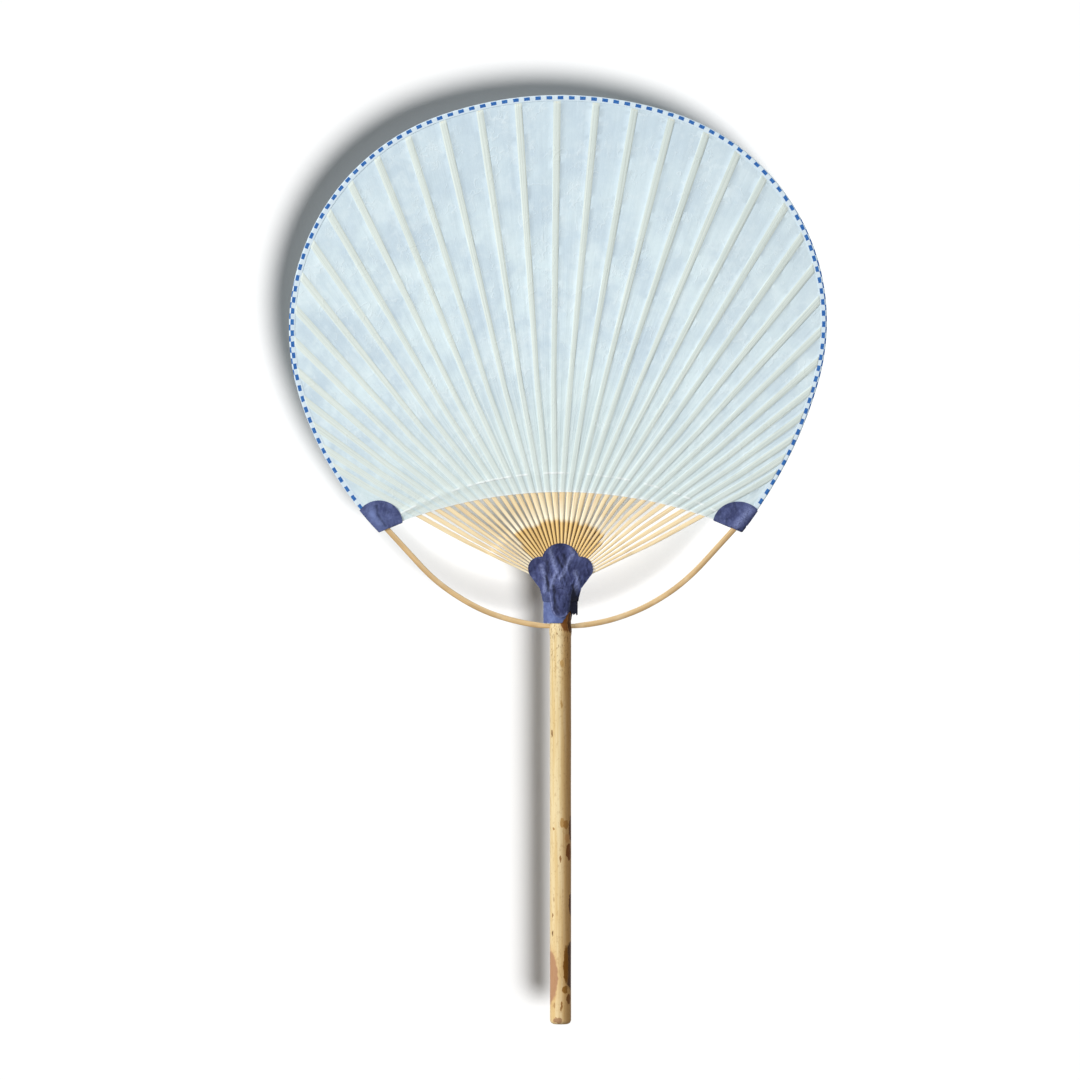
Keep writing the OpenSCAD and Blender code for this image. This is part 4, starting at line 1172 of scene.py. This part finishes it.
band_wall.thickness, band_wall.offset = 0.26 * mm, -1
apply_all(sleeve)
fit(sleeve, indigo_finish, "indigo_paper", "neck_sleeve", angle=60)

# Neck patches: a three-lobed piece of indigo paper pasted over the rib roots on each face, crumpled where it
# goes from the flat ribs to the round neck. The front one ends in a tongue over the sleeve.
lobe_mid, lobe_mid_r, lobe_side, lobe_side_r = (0.0, 123.7), 8.8, (9.4, 120.7), 5.6
gap = apart(lobe_mid, lobe_side)
reach_in = (lobe_mid_r ** 2 - lobe_side_r ** 2 + gap ** 2) / 2 / gap
across = ((lobe_side[0] - lobe_mid[0]) / gap, (lobe_side[1] - lobe_mid[1]) / gap)
off_line = sqrt(lobe_mid_r ** 2 - reach_in ** 2)
notch = (lobe_mid[0] + reach_in * across[0] - off_line * across[1], lobe_mid[1] + reach_in * across[1]
         + off_line * across[0])


def densely(points, gap_mm):
    """The closed line through the points, with a point about every gap"""
    dense = []
    for a, b in zip(points, points[1:] + points[:1]):
        n = max(1, round(apart(a, b) / gap_mm))
        dense += [part_way(a, b, k / n) for k in range(n)]
    return dense


def patch_outline(tongue):
    right = [polar(lobe_mid, lobe_mid_r, heading(lobe_mid, notch) * k / 16) for k in range(17)]
    a0 = heading(lobe_side, notch)
    right += [polar(lobe_side, lobe_side_r, a0 + (125 - a0) * k / 22) for k in range(1, 23)]
    right += [(9.6, 111.6), (8.55, 107.4), (8.25, 105.6)]
    if tongue:
        right += [(5.2, 105.5)] + [(4.3 * cos(radians(a)), 102.5 - 4.3 * sin(radians(a))) for a in range(0, 91, 9)]
    left = [(-x, z) for x, z in reversed(right)]
    return densely(right + [p for p in left if abs(p[0]) > 0.01], 0.5)


creases = [[(-4.9, 129.6), (-3.8, 126.0), (-2.8, 122.4), (-1.8, 119.3), (-3.8, 114.6), (-4.4, 112.1)],
           [(4.9, 129.6), (5.9, 127.6), (3.3, 123.4), (1.8, 119.3), (-0.2, 116.2)],
           [(6.9, 119.3), (8.0, 114.6), (7.0, 110.0)], [(-9.0, 122.0), (-7.0, 116.0), (-7.2, 110.0)]]
tongue_edge = [(-5.4, 111.6), (-4.3, 105.4), (-3.7, 101.4), (-2.0, 98.8), (0, 98.2), (2.2, 98.9), (3.8, 101.6),
               (4.5, 106.0), (6.2, 112.6)]
furrows = [[(-6.4, 117.4), (-5.6, 113.0), (-5.4, 110.4)], [(5.6, 113.0), (6.4, 108.6), (7.4, 106.0)],
           [(-1.4, 126.0), (0.8, 121.6)]]
shade_strokes = [[(-3.2, 112.8), (-2.9, 108.0), (-2.6, 103.0), (-1.4, 100.4)], [(5.0, 110.0), (4.8, 104.0), (4.0, 100.6)],
         [(-6.2, 124.0), (-5.6, 119.0)], [(1.4, 127.0), (2.2, 123.0)]]


def crushed(x, z, seed):
    """Sharp folds at random that run mostly down the paper, from 0 to about 0.8"""
    long_fold = abs(noise.noise(Vector((x * 0.30 + 0.10 * z, z * 0.12, seed))))
    short_fold = abs(noise.noise(Vector((x * 0.62 - 0.18 * z, z * 0.26, seed + 7))))
    return 0.5 * (1 - min(1, long_fold * 3.4)) + 0.3 * (1 - min(1, short_fold * 3.0))


for name, node, face, tongue in (("front_neck_patch", "neck_patch_front", -1, True),
                                 ("back_neck_patch", "neck_patch_back", 1, False)):
    sheet = rings(name, patch_outline(tongue), (0, 113.5), 44)
    bpy.ops.mesh.normals_make_consistent(inside=False)
    bpy.ops.object.mode_set(mode="OBJECT")
    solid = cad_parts[node]
    tree_of_solid = BVHTree.FromPolygons([v.co for v in solid.data.vertices],
                                         [p.vertices for p in solid.data.polygons])
    wear_and_highlights, painted_shades, fade_and_light_shares = [], [], []
    for point in sheet.data.vertices:
        x, z = point.co.x, point.co.z
        hit = None
        for pull in (1.0, 0.985, 0.96, 0.92):
            hit = tree_of_solid.ray_cast(Vector((x * pull, face * 0.03, 0.1135 + (z - 0.1135) * pull)),
                                         Vector((0, -face, 0)))[0]
            if hit and hit.y * face > 0.5 * mm:
                break
        depth = abs(hit.y) if hit else 1.7 * mm
        x, z = x / mm, z / mm
        folds = crushed(x, z, 5 * face)
        ridge = max(stroke(x, z, line, 1.5) for line in creases) if face < 0 else 0
        furrow = max(stroke(x, z, line, 1.0) for line in furrows) if face < 0 else 0
        seam = stroke(x, z, tongue_edge, 0.7) if face < 0 else 0
        rise = 0.04 + 0.75 * folds * (0.35 if depth > 5 * mm else 1) + 0.34 * ridge - 0.30 * furrow + 0.22 * seam
        point.co.y = face * min(5.95 * mm, depth + max(0.02, rise) * mm)
        patchy = 0.5 + 0.5 * noise.noise(Vector((x * 0.8, z * 0.35, 3)))
        # Lighter on crease ridges, the tongue's seam and fold tops: painted highlight with some wear
        wear_and_highlights.append(min(1, 1.1 * ridge * (0.45 + 0.55 * patchy) + 0.7 * seam * seam + 0.5 * max(0, folds - 0.42)))
        # Painted shade: in the furrows, beside the tongue, on the lower right and between the folds
        right_dark = max(0, min(1, (x - 4.4) / 1.4)) * max(0, min(1, (112 - z) / 5)) if face < 0 else 0
        shade_stroke = max(stroke(x, z, line, 1.3) for line in shade_strokes) if face < 0 else 0
        painted_shades.append(min(1, 0.95 * furrow + 0.9 * right_dark + 0.75 * shade_stroke + 0.9 * max(0, 0.38 - folds)))
        # Painted light on the front patch's lower left
        fade_and_light_shares.append(0.35 * max(0, min(1, (-x - 4.5) / 2)) * max(0, min(1, (112 - z) / 5)) if face < 0 else 0.1)
    write_mark(sheet, "wear_and_highlight", lambda point: wear_and_highlights[point.index])
    write_mark(sheet, "painted_shade", lambda point: painted_shades[point.index])
    write_mark(sheet, "faded_and_lit", lambda point: fade_and_light_shares[point.index])
    if sheet.data.polygons[len(sheet.data.polygons) // 3].normal.y * face < 0:
        sheet.data.flip_normals()
    patch_wall = sheet.modifiers.new("thickness", "SOLIDIFY")
    patch_wall.thickness, patch_wall.offset = 0.24 * mm, -1
    apply_all(sheet)
    fit(sheet, indigo_finish, "indigo_paper", node, angle=60)
